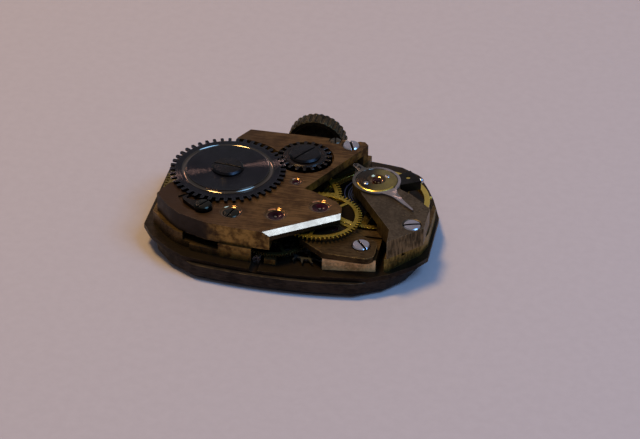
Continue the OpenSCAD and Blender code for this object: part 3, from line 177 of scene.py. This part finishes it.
class Finish:
    """A material under construction; its patterns are laid out in millimetres."""

    def __init__(self, name):
        self.material = bpy.data.materials.new(name)
        self.material.use_nodes = True
        self.tree = self.material.node_tree
        self.tree.nodes.clear()
        self.shader = self.tree.nodes.new("ShaderNodeBsdfPrincipled")
        out = self.tree.nodes.new("ShaderNodeOutputMaterial")
        self.tree.links.new(self.shader.outputs[0], out.inputs[0])
        place = self.add("ShaderNodeTexCoord", {}, {}, "Object")
        self.mm = self.add("ShaderNodeVectorMath", {"operation": "SCALE"}, {"Vector": place, "Scale": 1 / MM})
        self.true_normal = self.add("ShaderNodeNewGeometry", {}, {}, "Normal")

    def plug(self, socket, value):
        if isinstance(value, Wire):
            self.tree.links.new(value.socket, socket)
        elif hasattr(value, "__len__") and socket.type == "RGBA" and len(value) == 3:
            socket.default_value = (*value, 1)
        else:
            socket.default_value = value

    def add(self, kind, settings, inputs, output=0):
        """Adds a node: its settings first, then the values or wires of its sockets."""
        node = self.tree.nodes.new(kind)
        for setting, value in settings.items():
            setattr(node, setting, value)
        for socket, value in inputs.items():
            self.plug(node.inputs[socket], value)
        return Wire(self, node.outputs[output])

    def noise(self, scale, detail=4, rough=0.55, stretch=(1, 1, 1)):
        """Cloudy values about 0.5, with the given number of blotches per millimetre."""
        place = self.add("ShaderNodeVectorMath", {"operation": "MULTIPLY"}, {0: self.mm, 1: stretch})
        return self.add("ShaderNodeTexNoise", {},
                        {"Vector": place, "Scale": scale, "Detail": detail, "Roughness": rough})

    def along_x(self):
        """The place along X, in millimetres."""
        return self.add("ShaderNodeSeparateXYZ", {}, {0: self.mm}, 0)

    def ramp(self, value, low, high, dark=0.0, light=1.0):
        return self.add("ShaderNodeMapRange", {"interpolation_type": "SMOOTHSTEP"},
                        {"Value": value, "From Min": low, "From Max": high, "To Min": dark, "To Max": light})

    def mix(self, factor, first, second):
        """A colour between two colours."""
        return self.add("ShaderNodeMix", {"data_type": "RGBA"}, {0: factor, 6: first, 7: second}, 2)

    def edges(self, width):
        """Near 1 along the outer edges, over a width in millimetres."""
        soft = self.add("ShaderNodeBevel", {"samples": 4}, {"Radius": width * MM})
        turn = self.add("ShaderNodeVectorMath", {"operation": "DOT_PRODUCT"},
                        {0: soft, 1: self.true_normal}, 1)
        return self.ramp(1 - turn, 0.01, 0.16)

    def bump(self, height, depth, strength=1.0):
        """A normal from a height between 0 and 1 and a depth in millimetres."""
        return self.add("ShaderNodeBump", {},
                        {"Strength": strength, "Distance": depth * MM, "Height": height})

    def turned(self, centre, spread, rings_per_mm=70.0):
        """The normal of a face that was turned on a lathe: it leans in and out from ring to ring."""
        arm = self.add("ShaderNodeVectorMath", {"operation": "SUBTRACT"}, {0: self.mm, 1: centre})
        flat = self.add("ShaderNodeVectorMath", {"operation": "MULTIPLY"}, {0: arm, 1: (1, 1, 0)})
        radius = self.add("ShaderNodeVectorMath", {"operation": "LENGTH"}, {0: flat}, 1)
        grain = self.add("ShaderNodeTexNoise", {"noise_dimensions": "1D"},
                         {"W": radius, "Scale": rings_per_mm, "Detail": 2.0})
        ring = self.ramp(grain, 0.3, 0.7)
        out = self.add("ShaderNodeVectorMath", {"operation": "NORMALIZE"}, {0: flat})
        lean = self.add("ShaderNodeVectorMath", {"operation": "SCALE"},
                        {0: out, "Scale": (ring - 0.5) * spread})
        world_lean = self.add("ShaderNodeVectorTransform",
                              {"vector_type": "VECTOR", "convert_from": "OBJECT", "convert_to": "WORLD"},
                              {0: lean})
        total = self.add("ShaderNodeVectorMath", {"operation": "ADD"}, {0: self.true_normal, 1: world_lean})
        return self.add("ShaderNodeVectorMath", {"operation": "NORMALIZE"}, {0: total})

    def shade(self, **sockets):
        """Sets the shader's sockets, named with underscores for spaces, and returns the material."""
        for name, value in sockets.items():
            self.plug(self.shader.inputs[name.replace("_", " ")], value)
        return self.material


def old_gilding(name, light, deep, worn_and_lit_edge, grain=(1, 7, 7), rough=0.42, wear_and_highlight=0.35, metal=0.95,
                left_shade_paint=None, left_shade_span=None):
    """Gilt brass that has browned: cloudy stains, fine rolled grain, dark specks, and edges painted brighter,
    partly as wear and partly as a painted highlight.

    The shade span gives two places along X, in millimetres; left of them the gilt takes the shade colour, a
    painted shade."""
    finish = Finish(name)
    clouds = finish.noise(0.75, 6, 0.62)
    streaks = finish.noise(2.2, 5, 0.6, grain)
    specks = finish.noise(9, 3, 0.7)
    stain = finish.ramp(clouds * 0.5 + streaks * 0.5, 0.41, 0.59)
    base = finish.mix(stain, deep, light)
    if left_shade_paint:
        base = finish.mix(finish.ramp(finish.along_x() + clouds * 2 - 1, *left_shade_span), left_shade_paint, base)
    grime = finish.ramp(specks, 0.6, 0.75, 0.0, 0.75)
    base = finish.mix(grime, base, tuple(part * 0.3 for part in deep))
    edge = finish.edges(0.07) * finish.ramp(finish.noise(3.1), 0.35, 0.65)
    # Edges are painted toward the edge colour: partly wear, partly a painted highlight.
    base = finish.mix(edge * wear_and_highlight, base, worn_and_lit_edge)
    height = streaks * 0.6 + specks * 0.4
    return finish.shade(Base_Color=base, Metallic=finish.ramp(grime, 0, 1, metal, metal * 0.5),
                        Roughness=(finish.ramp(stain, 0, 1, rough + 0.12, rough) - edge * 0.1).clamped(),
                        Normal=finish.bump(height, 0.012, 0.5))


def plain_metal(name, colour, rough, spread=0.12, dull=0.5, scratched=0.35, left_shade_paint=None, left_shade_span=None):
    """Worked metal: fine scratches, slight smudges, and edges painted lighter as a painted highlight.

    dull is the smudges' share of the colour, and the shade span is as for old_gilding: left of it the metal
    is painted darker, a painted shade."""
    finish = Finish(name)
    smudge = finish.noise(1.3, 5, 0.6)
    scratch = finish.noise(12, 3, 0.6, (1, 9, 3))
    cloud = finish.ramp(smudge, 0.3, 0.7)
    base = finish.mix(cloud, tuple(part * dull for part in colour), colour)
    if left_shade_paint:
        base = finish.mix(finish.ramp(finish.along_x(), *left_shade_span), left_shade_paint, base)
    edge = finish.edges(0.04)
    # Edges are painted lighter, a painted highlight.
    base = finish.mix(edge * 0.5, base, tuple(min(1, part * 1.6 + 0.03) for part in colour))
    return finish.shade(Base_Color=base, Metallic=1.0,
                        Roughness=(rough + spread * (1 - cloud) + 0.06 * scratch).clamped(),
                        Normal=finish.bump(scratch, 0.004, scratched))


def turned_metal(name, colour, centre, spread, rough, edge_highlight=(0.3, 0.3, 0.34), left_shade_paint=None):
    """Metal with a fine turned grain round its centre; left of the centre it may be painted darker, a painted
    shade.
    """
    finish = Finish(name)
    smudge = finish.ramp(finish.noise(1.1, 5, 0.6), 0.3, 0.75)
    base = finish.mix(smudge, tuple(part * 0.65 for part in colour), colour)
    if left_shade_paint:
        base = finish.mix(finish.ramp(finish.along_x(), centre.x - 0.6, centre.x + 0.5), left_shade_paint, base)
    edge = finish.edges(0.04)
    # Edges are painted toward a light colour, a painted highlight.
    base = finish.mix(edge * 0.6, base, edge_highlight)
    return finish.shade(Base_Color=base, Metallic=1.0, Roughness=(rough + smudge * 0.03).clamped(),
                        Normal=finish.turned(centre, spread))


def ruby(name):
    finish = Finish(name)
    depth = finish.ramp(finish.noise(2.5, 2, 0.5), 0.35, 0.65)
    base = finish.mix(depth, (0.006, 0.0002, 0.0012), (0.022, 0.0005, 0.0045))
    return finish.shade(Base_Color=base, Roughness=0.06, IOR=1.5, Specular_IOR_Level=0.12)


def table_top(name):
    finish = Finish(name)
    paper = finish.noise(1.6, 4, 0.6)
    base = finish.mix(finish.ramp(paper, 0.2, 0.8), (0.405, 0.343, 0.39), (0.425, 0.36, 0.41))
    return finish.shade(Base_Color=base, Roughness=0.75, Specular_IOR_Level=0.2,
                        Normal=finish.bump(paper, 0.02, 0.2))


# Browned and blackened gilding, by its light and deep stains and its edge colour, which is partly wear and
# partly a painted highlight
# The plate is browned, and also painted dark as shade for its floors deep in the openings.
PLATE = old_gilding("browned_and_shaded_plate", (0.14, 0.085, 0.035), (0.035, 0.02, 0.01), (0.3, 0.22, 0.08))
FLANGE = old_gilding("blackened_flange", (0.03, 0.02, 0.013), (0.014, 0.009, 0.007), (0.16, 0.12, 0.07),
                     wear_and_highlight=0.5)
OLIVE_WALL = old_gilding("olive_wall", (0.26, 0.18, 0.05), (0.06, 0.04, 0.012), (0.4, 0.32, 0.12),
                         grain=(3, 3, 1), wear_and_highlight=0.6)
STAINED_WALL = old_gilding("stained_wall", (0.88, 0.53, 0.26), (0.46, 0.25, 0.11), (0.8, 0.62, 0.42),
                           grain=(2, 2, 2), rough=0.5, metal=0.4)
# The bridge's top is painted darker towards the left, a painted shade.
BRIDGE = old_gilding("browned_bridge", (0.155, 0.084, 0.034), (0.046, 0.023, 0.0105), (0.26, 0.19, 0.12),
                     grain=(0.3, 4, 4), rough=0.4, left_shade_paint=(0.036, 0.02, 0.014), left_shade_span=(-7.5, 0.5))
# This wall finish is painted darker towards its left end, a painted shade.
BRIDGE_WALL = old_gilding("stained_and_lit_bridge_wall", (0.34, 0.2, 0.06), (0.085, 0.042, 0.015), (0.4, 0.3, 0.16),
                          grain=(1, 1, 1), left_shade_paint=(0.034, 0.025, 0.02), left_shade_span=(-4.9, -3.2))
# The rear foot's walls are painted brighter, as painted light.
LIT_FOOT_WALL = old_gilding("painted_light_foot", (0.75, 0.5, 0.16), (0.25, 0.15, 0.05), (0.8, 0.65, 0.35),
                        grain=(2, 2, 2))
# The wall under the front bevel is painted near-black, a painted shade.
SHADED_WALL = old_gilding("painted_shade_wall", (0.05, 0.035, 0.018), (0.02, 0.013, 0.008), (0.06, 0.045, 0.03))
ESCAPE_BRIDGE = old_gilding("browned_escape_bridge", (0.075, 0.046, 0.02), (0.026, 0.015, 0.007),
                            (0.5, 0.36, 0.18), wear_and_highlight=0.7)
COCK = old_gilding("browned_cock", (0.095, 0.072, 0.056), (0.042, 0.032, 0.027), (0.3, 0.24, 0.19),
                   grain=(3, 3, 6), wear_and_highlight=0.6)
COCK_WALL = old_gilding("streaked_cock_wall", (0.2, 0.14, 0.075), (0.05, 0.034, 0.017), (0.35, 0.3, 0.2),
                        grain=(5, 5, 0.6), wear_and_highlight=0.6)
RING = old_gilding("blackened_ring", (0.045, 0.034, 0.028), (0.02, 0.015, 0.013), (0.2, 0.15, 0.12),
                   grain=(1, 2, 9), rough=0.5)
CROWN_GILT = old_gilding("worn_crown", (0.07, 0.05, 0.03), (0.02, 0.014, 0.01), (0.35, 0.27, 0.13),
                         grain=(2, 2, 2), wear_and_highlight=0.7)

# Worked metals, by their colour and roughness
DIAL = plain_metal("silvered_dial", (0.62, 0.58, 0.5), 0.45)
GOLD = plain_metal("gilt_wheel", (0.42, 0.29, 0.045), 0.26)
DULL_GOLD = plain_metal("dull_gilt_wheel", (0.17, 0.135, 0.05), 0.3)
BALANCE_GOLD = plain_metal("bright_gilt_balance", (0.78, 0.54, 0.12), 0.16, dull=0.75)
STEEL = plain_metal("plain_steel", (0.22, 0.21, 0.215), 0.28)
BRIGHT_STEEL = plain_metal("polished_steel", (0.55, 0.5, 0.58), 0.16, spread=0.08, dull=0.75)
# The regulator is painted darker towards the left, a painted shade.
REGULATOR_STEEL = plain_metal("grey_regulator", (0.4, 0.35, 0.39), 0.24, spread=0.1, dull=0.7,
                              left_shade_paint=(0.13, 0.11, 0.095), left_shade_span=(4.2, 5.6))
DARK_STEEL = plain_metal("dark_steel", (0.026, 0.023, 0.028), 0.2)
BLACK_STEEL = plain_metal("black_steel", (0.018, 0.015, 0.016), 0.3)
# Screw slots are painted near-black, a painted shade.
SLOT_SHADE = plain_metal("slot_painted_shade", (0.012, 0.01, 0.01), 0.5)
BROWN_SCREW = plain_metal("worn_screw", (0.1, 0.085, 0.07), 0.22)
GREY_SCREW = plain_metal("worn_grey_screw", (0.03, 0.028, 0.022), 0.16)
BLUED = plain_metal("blued_spring", (0.07, 0.085, 0.2), 0.25)
POLISHED_BEVEL = plain_metal("polished_bevel", (0.62, 0.29, 0.17), 0.2, spread=0.08, dull=0.8)
POLISHED_GROOVE = plain_metal("polished_groove", (0.17, 0.13, 0.11), 0.06, spread=0.02, dull=0.9,
                              scratched=0.02)
POLISHED_SINK = plain_metal("polished_sink", (0.22, 0.12, 0.065), 0.07, spread=0.02, dull=0.9, scratched=0.0)

# Turned faces, with the spread of their lean
RATCHET_STEEL = turned_metal("ratchet_steel", (0.027, 0.023, 0.031), BARREL, 0.46, 0.085)
CROWN_WHEEL_STEEL = turned_metal("crown_wheel_steel", (0.03, 0.02, 0.019), CROWN_WHEEL, 0.4, 0.22)
# The cap is painted darker left of its centre, a painted shade.
CAP_BRASS = turned_metal("cap_brass", (0.38, 0.28, 0.1), BALANCE, 0.35, 0.2, edge_highlight=(0.6, 0.5, 0.25),
                         left_shade_paint=(0.035, 0.022, 0.013))

RUBY = ruby("ruby")
TABLE = table_top("table")

FINISH_OF_SLOT = {
    "patinated_plate": PLATE, "patinated_bridge": BRIDGE, "cock_brass": COCK, "ring_metal": RING,
    "dial_metal": DIAL, "dark_steel": DARK_STEEL, "bright_steel": BRIGHT_STEEL, "plain_steel": STEEL,
    "brown_screw": BROWN_SCREW, "gold_wheel": GOLD, "dull_wheel": DULL_GOLD, "balance_gold": BALANCE_GOLD,
    "ruby": RUBY, "blued_spring": BLUED, "crown_metal": CROWN_GILT,
}
FINISH_OF_NODE = {
    "escape_bridge": ESCAPE_BRIDGE, "ratchet_wheel": RATCHET_STEEL, "crown_wheel": CROWN_WHEEL_STEEL,
    "jewel_cap": CAP_BRASS, "stud_carrier": BLACK_STEEL, "click": BLACK_STEEL, "blued_screws": GREY_SCREW,
    "regulator": REGULATOR_STEEL, "click_spring": BLACK_STEEL, "escape_wheel": STEEL,
    "hairspring_stud": BALANCE_GOLD,
}


def finish_of(node):
    return FINISH_OF_NODE.get(node, FINISH_OF_SLOT[SLOT_OF[node]])


def paint(piece, material):
    piece.data.materials.clear()
    piece.data.materials.append(material)


def repaint(piece, material, chosen):
    """Gives another material to the faces whose place and normal are chosen."""
    piece.data.materials.append(material)
    for face in piece.data.polygons:
        if chosen(face.center, face.normal):
            face.material_index = len(piece.data.materials) - 1


# Modelling helpers

MERGE_DISTANCE = 0.0015
FLAT_ANGLE = math.radians(0.8)
SHARP_ANGLE = math.radians(40)


def take(piece):
    """Makes a piece the only selected one."""
    for other in bpy.context.selected_objects:
        other.select_set(False)
    piece.select_set(True)
    bpy.context.view_layer.objects.active = piece


def open_up(piece):
    take(piece)
    bpy.ops.object.mode_set(mode="EDIT")
    bpy.ops.mesh.select_mode(type="VERT")


def close_up():
    bpy.ops.object.mode_set(mode="OBJECT")


def settle(piece, name, node):
    """Sets a finished piece down in metres, with its place in its mesh, on a node's body."""
    take(piece)
    piece.name = name
    piece.location = piece.location * MM
    piece.scale = piece.scale * MM
    bpy.ops.object.transform_apply(location=True, rotation=True, scale=True)
    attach(piece, BODY_OF[node])
    return piece


def stand_in(node, name, pieces):
    """Joins pieces into one that stands for a solid."""
    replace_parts(settle(joined(pieces), name, node), node)


def modify(piece, kind, **settings):
    take(piece)
    modifier = piece.modifiers.new(kind.lower(), kind)
    for setting, value in settings.items():
        setattr(modifier, setting, value)
    bpy.ops.object.modifier_apply(modifier=modifier.name)


def smooth(piece, angle=35, keep_flat=False):
    """Shades a piece smooth up to an angle in degrees; its large faces may be kept flat to their bevels."""
    take(piece)
    bpy.ops.object.shade_smooth_by_angle(angle=math.radians(angle))
    if keep_flat:
        modify(piece, "WEIGHTED_NORMAL", keep_sharp=True)


def copied(node):
    """A clean copy of a solid in millimetres, with its loose triangles merged into faces."""
    piece = frame["nodes"][node].copy()
    piece.data = piece.data.copy()
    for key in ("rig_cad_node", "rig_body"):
        if key in piece:
            del piece[key]
    piece.parent = None
    bpy.context.scene.collection.objects.link(piece)
    piece.scale = (1 / MM,) * 3
    take(piece)
    bpy.ops.object.transform_apply(location=True, rotation=True, scale=True)
    open_up(piece)
    bpy.ops.mesh.select_all(action="SELECT")
    bpy.ops.mesh.remove_doubles(threshold=MERGE_DISTANCE)
    bpy.ops.mesh.dissolve_limited(angle_limit=FLAT_ANGLE)
    close_up()
    return piece


def eased(node, width, cuts=(), repaints=(), additions=()):
    """Stands for a solid, with cuts made and faces repainted, and with its sharp edges rounded."""
    piece = copied(node)
    paint(piece, finish_of(node))
    for cutter in cuts:
        carved(piece, cutter)
    for material, chosen in repaints:
        repaint(piece, material, chosen)
    modify(piece, "BEVEL", width=width, segments=2, limit_method="ANGLE", angle_limit=SHARP_ANGLE,
           use_clamp_overlap=True)
    smooth(piece, keep_flat=True)
    stand_in(node, "eased_" + node, [piece, *additions])


def round_solids(node):
    """Middle, radius, lowest place, seat and top of each round solid in a node, from left to right."""
    whole = copied(node)
    open_up(whole)
    bpy.ops.mesh.select_all(action="SELECT")
    bpy.ops.mesh.separate(type="LOOSE")
    close_up()
    found = []
    for solid in list(bpy.context.selected_objects):
        points = [vertex.co for vertex in solid.data.vertices]
        low = Vector([min(point[axis] for point in points) for axis in range(3)])
        high = Vector([max(point[axis] for point in points) for axis in range(3)])
        centre = (low + high) / 2
        radius = (high.x - low.x) / 2
        seat = min(point.z for point in points if (point - centre).xy.length > 0.95 * radius)
        found.append((centre, radius, low.z, seat, high.z))
        bpy.data.objects.remove(solid)
    return sorted(found, key=lambda place: place[0].x)


def lathed(profile, centre, sides=64):
    """A turned piece: rings of radii and heights, closed at both ends, or back on itself as a ring."""
    (first_r, first_z), *rest = profile
    closed_ring = profile[0] == profile[-1]
    bpy.ops.mesh.primitive_circle_add(vertices=sides, radius=first_r, location=(centre.x, centre.y, first_z),
                                      fill_type="NOTHING" if closed_ring else "NGON")
    piece = bpy.context.object
    open_up(piece)
    bpy.ops.mesh.select_all(action="SELECT")
    radius, height = first_r, first_z
    for next_r, next_z in rest:
        bpy.ops.mesh.extrude_region_move(TRANSFORM_OT_translate={"value": (0, 0, next_z - height)})
        bpy.ops.transform.resize(value=(next_r / radius, next_r / radius, 1),
                                 center_override=(centre.x, centre.y, next_z))
        radius, height = next_r, next_z
    if not closed_ring:
        bpy.ops.mesh.edge_face_add()
    bpy.ops.mesh.select_all(action="SELECT")
    bpy.ops.mesh.remove_doubles(threshold=0.0001)
    bpy.ops.mesh.normals_make_consistent(inside=False)
    close_up()
    return piece


def boxed(size, centre, turn=0.0):
    bpy.ops.mesh.primitive_cube_add(size=1, location=centre, rotation=(0, 0, turn))
    block = bpy.context.object
    block.scale = size
    take(block)
    bpy.ops.object.transform_apply(location=True, rotation=True, scale=True)
    return block


def carved(piece, cutter):
    """Cuts one piece out of another and throws the cutter away; its material stays on the cut."""
    modify(piece, "BOOLEAN", operation="DIFFERENCE", object=cutter, solver="EXACT", material_mode="TRANSFER")
    bpy.data.objects.remove(cutter)


def joined(pieces):
    take(pieces[0])
    for other in pieces[1:]:
        other.select_set(True)
    bpy.ops.object.join()
    return pieces[0]


def arc(inner, start, steepest, width, steps=7):
    """Radii and heights of a hollow's side: flat at the inner radius, and as steep as an angle in degrees
    at the far end of its width."""
    turn = math.radians(steepest)
    curve = width / math.sin(turn)
    return [(inner + curve * math.sin(turn * k / steps), start + curve * (1 - math.cos(turn * k / steps)))
            for k in range(steps + 1)]


# Screws

def screw(metal, centre, radius, low, seat, top, slot, turn):
    """A slotted screw with a slightly domed head, whose rim is chamfered; turn is in degrees."""
    dome = 0.02
    chamfer = radius * 0.11
    flat = top - dome
    shank = radius * 0.5
    profile = [(shank, low), (shank, seat), (radius, seat), (radius, flat - chamfer),
               (radius - chamfer, flat), (radius * 0.6, flat + dome * 0.7), (radius * 0.25, top),
               (radius * 0.02, top)]
    head = lathed(profile, centre)
    paint(head, metal)
    groove = boxed((3 * radius, slot, 2 * slot), (centre.x, centre.y, top), math.radians(turn))
    # The slot's faces are painted near-black, a painted shade.
    paint(groove, SLOT_SHADE)
    carved(head, groove)
    modify(head, "BEVEL", width=0.012, segments=2, limit_method="ANGLE", angle_limit=math.radians(50))
    smooth(head, 30)
    return head


def make_screws(node, turns, slot_share=0.28, sunk=0.0):
    """Screws in place of a node's solids; turns are their slots' angles in degrees, from left to right."""
    heads = [screw(finish_of(node), centre, radius, low, seat, top - sunk, slot_share * radius, turn)
             for (centre, radius, low, seat, top), turn in zip(round_solids(node), turns)]
    stand_in(node, "slotted_" + node, heads)


# Jewels and the polished bowls that they lie in

# A jewel with a radius above this has a wide bowl, and a hole that is small for its size
LARGE_JEWEL = 0.4
# Jewels that reach higher than this below the bridge's top lie in the bridge
BRIDGE_JEWEL_DEPTH = 0.2
CUP_SLOPE = 0.3
WIDE_BOWL, NARROW_BOWL = 0.16, 0.1
BOWL_UNDER_JEWEL = 0.04
# Slope of a bowl's outer edge, in degrees, and how far it stands above the bridge
BOWL_EDGE = 50
BOWL_PROUD = 0.003
BOWL_BRIM = 0.015
BOWL_WALL = 0.04


def cupped_jewel(centre, radius, low, high, hole):
    """A jewel with a rounded rim, a polished oil cup and a hole."""
    rim = radius * 0.14
    cup = radius * 0.72
    profile = [(hole, low), (radius, low), (radius, high - rim), (radius - rim * 0.13, high - rim * 0.5),
               (radius - rim * 0.5, high - rim * 0.13), (radius - rim, high), (cup, high),
               (hole, high - (cup - hole) * CUP_SLOPE), (hole, low)]
    stone = lathed(profile, centre, 48)
    paint(stone, RUBY)
    smooth(stone, 30)
    return stone


def domed_jewel(centre, radius, low, high):
    profile = [(radius, low), (radius, high - 0.06), (radius * 0.93, high - 0.035),
               (radius * 0.75, high - 0.015), (radius * 0.4, high - 0.003), (radius * 0.05, high)]
    stone = lathed(profile, centre, 48)
    paint(stone, RUBY)
    smooth(stone, 60)
    return stone


def bowl(centre, inner, outer, top):
    """The polished hollow ring round a jewel or a screw, whose outer edge is at the top."""
    depth = (outer - inner) * math.tan(math.radians(BOWL_EDGE) / 2)
    hollow = arc(inner, top - depth, BOWL_EDGE, outer - inner)
    brim = outer + BOWL_BRIM
    under = top - depth - BOWL_WALL
    ring = lathed(hollow + [(brim, top), (brim, under), (inner, under), hollow[0]], centre)
    paint(ring, POLISHED_SINK)
    smooth(ring, 60)
    return ring


def make_jewels():
    """Cupped jewels in the bridges, and the bowls round the barrel bridge's jewels and its front screw."""
    bridge_top = corners("barrel_bridge")[1].z
    stones, bowls = [], []
    for centre, radius, low, seat, high in round_solids("upper_jewels"):
        large = radius > LARGE_JEWEL
        hole = radius * (0.2 if large else 0.4)
        stones.append(cupped_jewel(centre, radius, low, high, hole))
        if high > bridge_top - BRIDGE_JEWEL_DEPTH:
            outer = radius + (WIDE_BOWL if large else NARROW_BOWL)
            bowls.append(bowl(centre, radius - BOWL_UNDER_JEWEL, outer, bridge_top + BOWL_PROUD))
    stand_in("upper_jewels", "cupped_jewels", stones)
    front_centre, front_radius = round_solids("blued_screws")[1][:2]
    bowls.append(bowl(front_centre, front_radius, front_radius + WIDE_BOWL, bridge_top + BOWL_PROUD))
    settle(joined(bowls), "polished_bowls", "barrel_bridge")


def make_cap_jewel():
    centre, radius, low, seat, high = round_solids("cap_jewel")[0]
    stand_in("cap_jewel", "domed_cap_jewel", [domed_jewel(centre, radius, low, high)])


# Turned hollows and the regulator's studs

# How far a cutter stands above the face that it cuts
CUTTER_RISE = 0.1
TAIL_ANGLE = math.radians(137.3)
TAIL = Vector((math.cos(TAIL_ANGLE), math.sin(TAIL_ANGLE), 0))
# Each stud's distance from the balance's staff, and its radius
CURB_STUDS = [(1.8, 0.15), (2.17, 0.12)]
STUD_ROOT = 0.04
STUD_HEIGHT = 0.05
# How far the curb pins reach above the regulator's face
CURB_PIN_RISE = 0.03


def hollow_cutter(material, centre, profile, top):
    """The cutter of a ring-shaped hollow, whose radii and heights are given from the inside out."""
    first_r, last_r = profile[0][0], profile[-1][0]
    cutter = lathed([(first_r, top)] + profile + [(last_r, top), (first_r, top)], centre, 128)
    paint(cutter, material)
    return cutter


def ratchet_groove():
    """The polished groove between the ratchet's raised face and its teeth."""
    face = corners("ratchet_wheel")[1].z
    bottom_radius, bottom, curve, fall, rise = 2.765, face - 0.168, 0.19, 60, 50
    inner = [(2 * bottom_radius - radius, height)
             for radius, height in arc(bottom_radius, bottom, fall, curve * math.sin(math.radians(fall)))]
    outer = arc(bottom_radius, bottom, rise, curve * math.sin(math.radians(rise)), 6)
    return hollow_cutter(POLISHED_GROOVE, BARREL, inner[:0:-1] + outer, face + CUTTER_RISE)


def cap_hollow():
    """The polished hollow round the jewel in the balance's cap."""
    low, high = corners("jewel_cap")
    hollow = arc(inner=0.27, start=low.z + 0.05, steepest=55, width=0.31)
    return hollow_cutter(POLISHED_SINK, BALANCE, hollow, high.z + CUTTER_RISE)


def stud(metal, centre, radius, low, high):
    """A small riveted stud with a rounded head and a dimple."""
    profile = [(radius, low), (radius, high - radius * 0.45), (radius * 0.9, high - radius * 0.2),
               (radius * 0.65, high), (radius * 0.4, high - radius * 0.05),
               (radius * 0.1, high - radius * 0.2)]
    head = lathed(profile, centre, 32)
    paint(head, metal)
    smooth(head, 60)
    return head


def curb_studs():
    """The two studs on the regulator's tail, which hold the curb pins."""
    face = corners("regulator")[1].z - CURB_PIN_RISE
    return [stud(DARK_STEEL, BALANCE + TAIL * reach, radius, face - STUD_ROOT, face + STUD_HEIGHT)
            for reach, radius in CURB_STUDS]


def make_table():
    bpy.ops.mesh.primitive_grid_add(x_subdivisions=2, y_subdivisions=2, size=TABLE_WIDTH, location=(0, 0, 0))
    table = bpy.context.object
    table.name = "table"
    table.scale = (MM,) * 3
    take(table)
    bpy.ops.object.transform_apply(location=True, rotation=True, scale=True)
    paint(table, TABLE)


# Faces that take another finish than their piece, by their place and normal, and the lowered wall

FLANGE_TOP = 1.37
STAINED_BLOCK_X = (2.3, 6.1)
STAINED_BLOCK_FRONT = -5.2
LIT_WALL_X = (-5, 0)
OLIVE_FROM_X = 6.3
FOOT_FROM = Vector((2.9, 4))
BEVEL_OUT = Vector((0.57, -0.822, 0))
CAP_RIM_RADIUS = 1.2
CAP_RIM_FRONT = 0.5
CAP_RIM_LOW = 3.6
# The lowered stretch of the plate's wall behind the balance, by its size and middle seen from above
LOW_WALL_SIZE = (2.9, 2.6)
LOW_WALL_MIDDLE = (5.25, 5.2)


def faces_along(direction, least=0.97):
    """Chooses faces that look in a direction."""
    aim = Vector(direction).normalized()
    return lambda place, normal: normal.dot(aim) > least


def wall(place, normal):
    return abs(normal.z) < 0.35


def flange(place, normal):
    return place.z < FLANGE_TOP


def front_face(place, normal):
    return normal.y < -0.4 and place.z > FLANGE_TOP


def stained_block(place, normal):
    low, high = STAINED_BLOCK_X
    return front_face(place, normal) and low < place.x < high and place.y < STAINED_BLOCK_FRONT


# Here the plate's front wall takes the lighter bridge-wall finish: painted light, against the plate's painted
# shade.
def lit_wall(place, normal):
    low, high = LIT_WALL_X
    return front_face(place, normal) and wall(place, normal) and low < place.x < high


def olive_wall(place, normal):
    return wall(place, normal) and place.x > OLIVE_FROM_X and place.z > FLANGE_TOP


def rear_foot(place, normal):
    return wall(place, normal) and place.x > FOOT_FROM.x and place.y > FOOT_FROM.y


def cap_rim_highlight(place, normal):
    """The cap's rim, painted bright gold at the front only: a painted highlight."""
    return (place.z > CAP_RIM_LOW and (place - BALANCE).xy.length > CAP_RIM_RADIUS
            and place.y < BALANCE.y - CAP_RIM_FRONT)


def behind_balance():
    """The cutter that lowers the plate's wall behind the balance, down to its flange."""
    height = 1.0
    cutter = boxed((*LOW_WALL_SIZE, height), (*LOW_WALL_MIDDLE, FLANGE_TOP + height / 2))
    paint(cutter, PLATE)
    return cutter


# Rounding of the edges, in millimetres, for pieces with one finish
EASED_EDGES = {
    "escape_bridge": 0.04, "crown_wheel": 0.02, "third_wheel": 0.012, "fourth_wheel": 0.012,
    "centre_wheel": 0.012, "balance_wheel": 0.03, "stud_carrier": 0.03, "click": 0.02, "crown": 0.03,
    "barrel_drum": 0.015,
}

add_camera()
add_light()
make_table()

for node_name, solid in frame["nodes"].items():
    paint(solid, finish_of(node_name))

eased("casing_ring", 0.05)
eased("mainplate", 0.02, cuts=[behind_balance()],
      repaints=[(FLANGE, flange), (STAINED_WALL, stained_block), (BRIDGE_WALL, lit_wall),
                (OLIVE_WALL, olive_wall)])
eased("barrel_bridge", 0.02,
      repaints=[(BRIDGE_WALL, wall), (LIT_FOOT_WALL, rear_foot), (SHADED_WALL, faces_along(BEVEL_OUT)),
                (POLISHED_BEVEL, faces_along(BEVEL_OUT + Vector((0, 0, 1))))])
eased("balance_cock", 0.02, repaints=[(COCK_WALL, wall)])
eased("ratchet_wheel", 0.015, cuts=[ratchet_groove()])
eased("jewel_cap", 0.015, cuts=[cap_hollow()], repaints=[(BALANCE_GOLD, cap_rim_highlight)])
eased("regulator", 0.02, additions=curb_studs())
for node_name, edge_width in EASED_EDGES.items():
    eased(node_name, edge_width)

# The jewels come before the screws, because they look for the front screw's solid
make_jewels()
make_cap_jewel()
make_screws("bridge_screws", (112, 128, 18))
make_screws("blued_screws", (60, 75), slot_share=0.2)
make_screws("setting_lever_screw", (100,), slot_share=0.3)
make_screws("crown_wheel_screw", (58,), slot_share=0.11)
make_screws("cap_screws", (-20, 80), slot_share=0.3)
make_screws("ratchet_screw", (-7,), slot_share=0.11, sunk=0.17)

bpy.context.scene.view_settings.view_transform = "Standard"
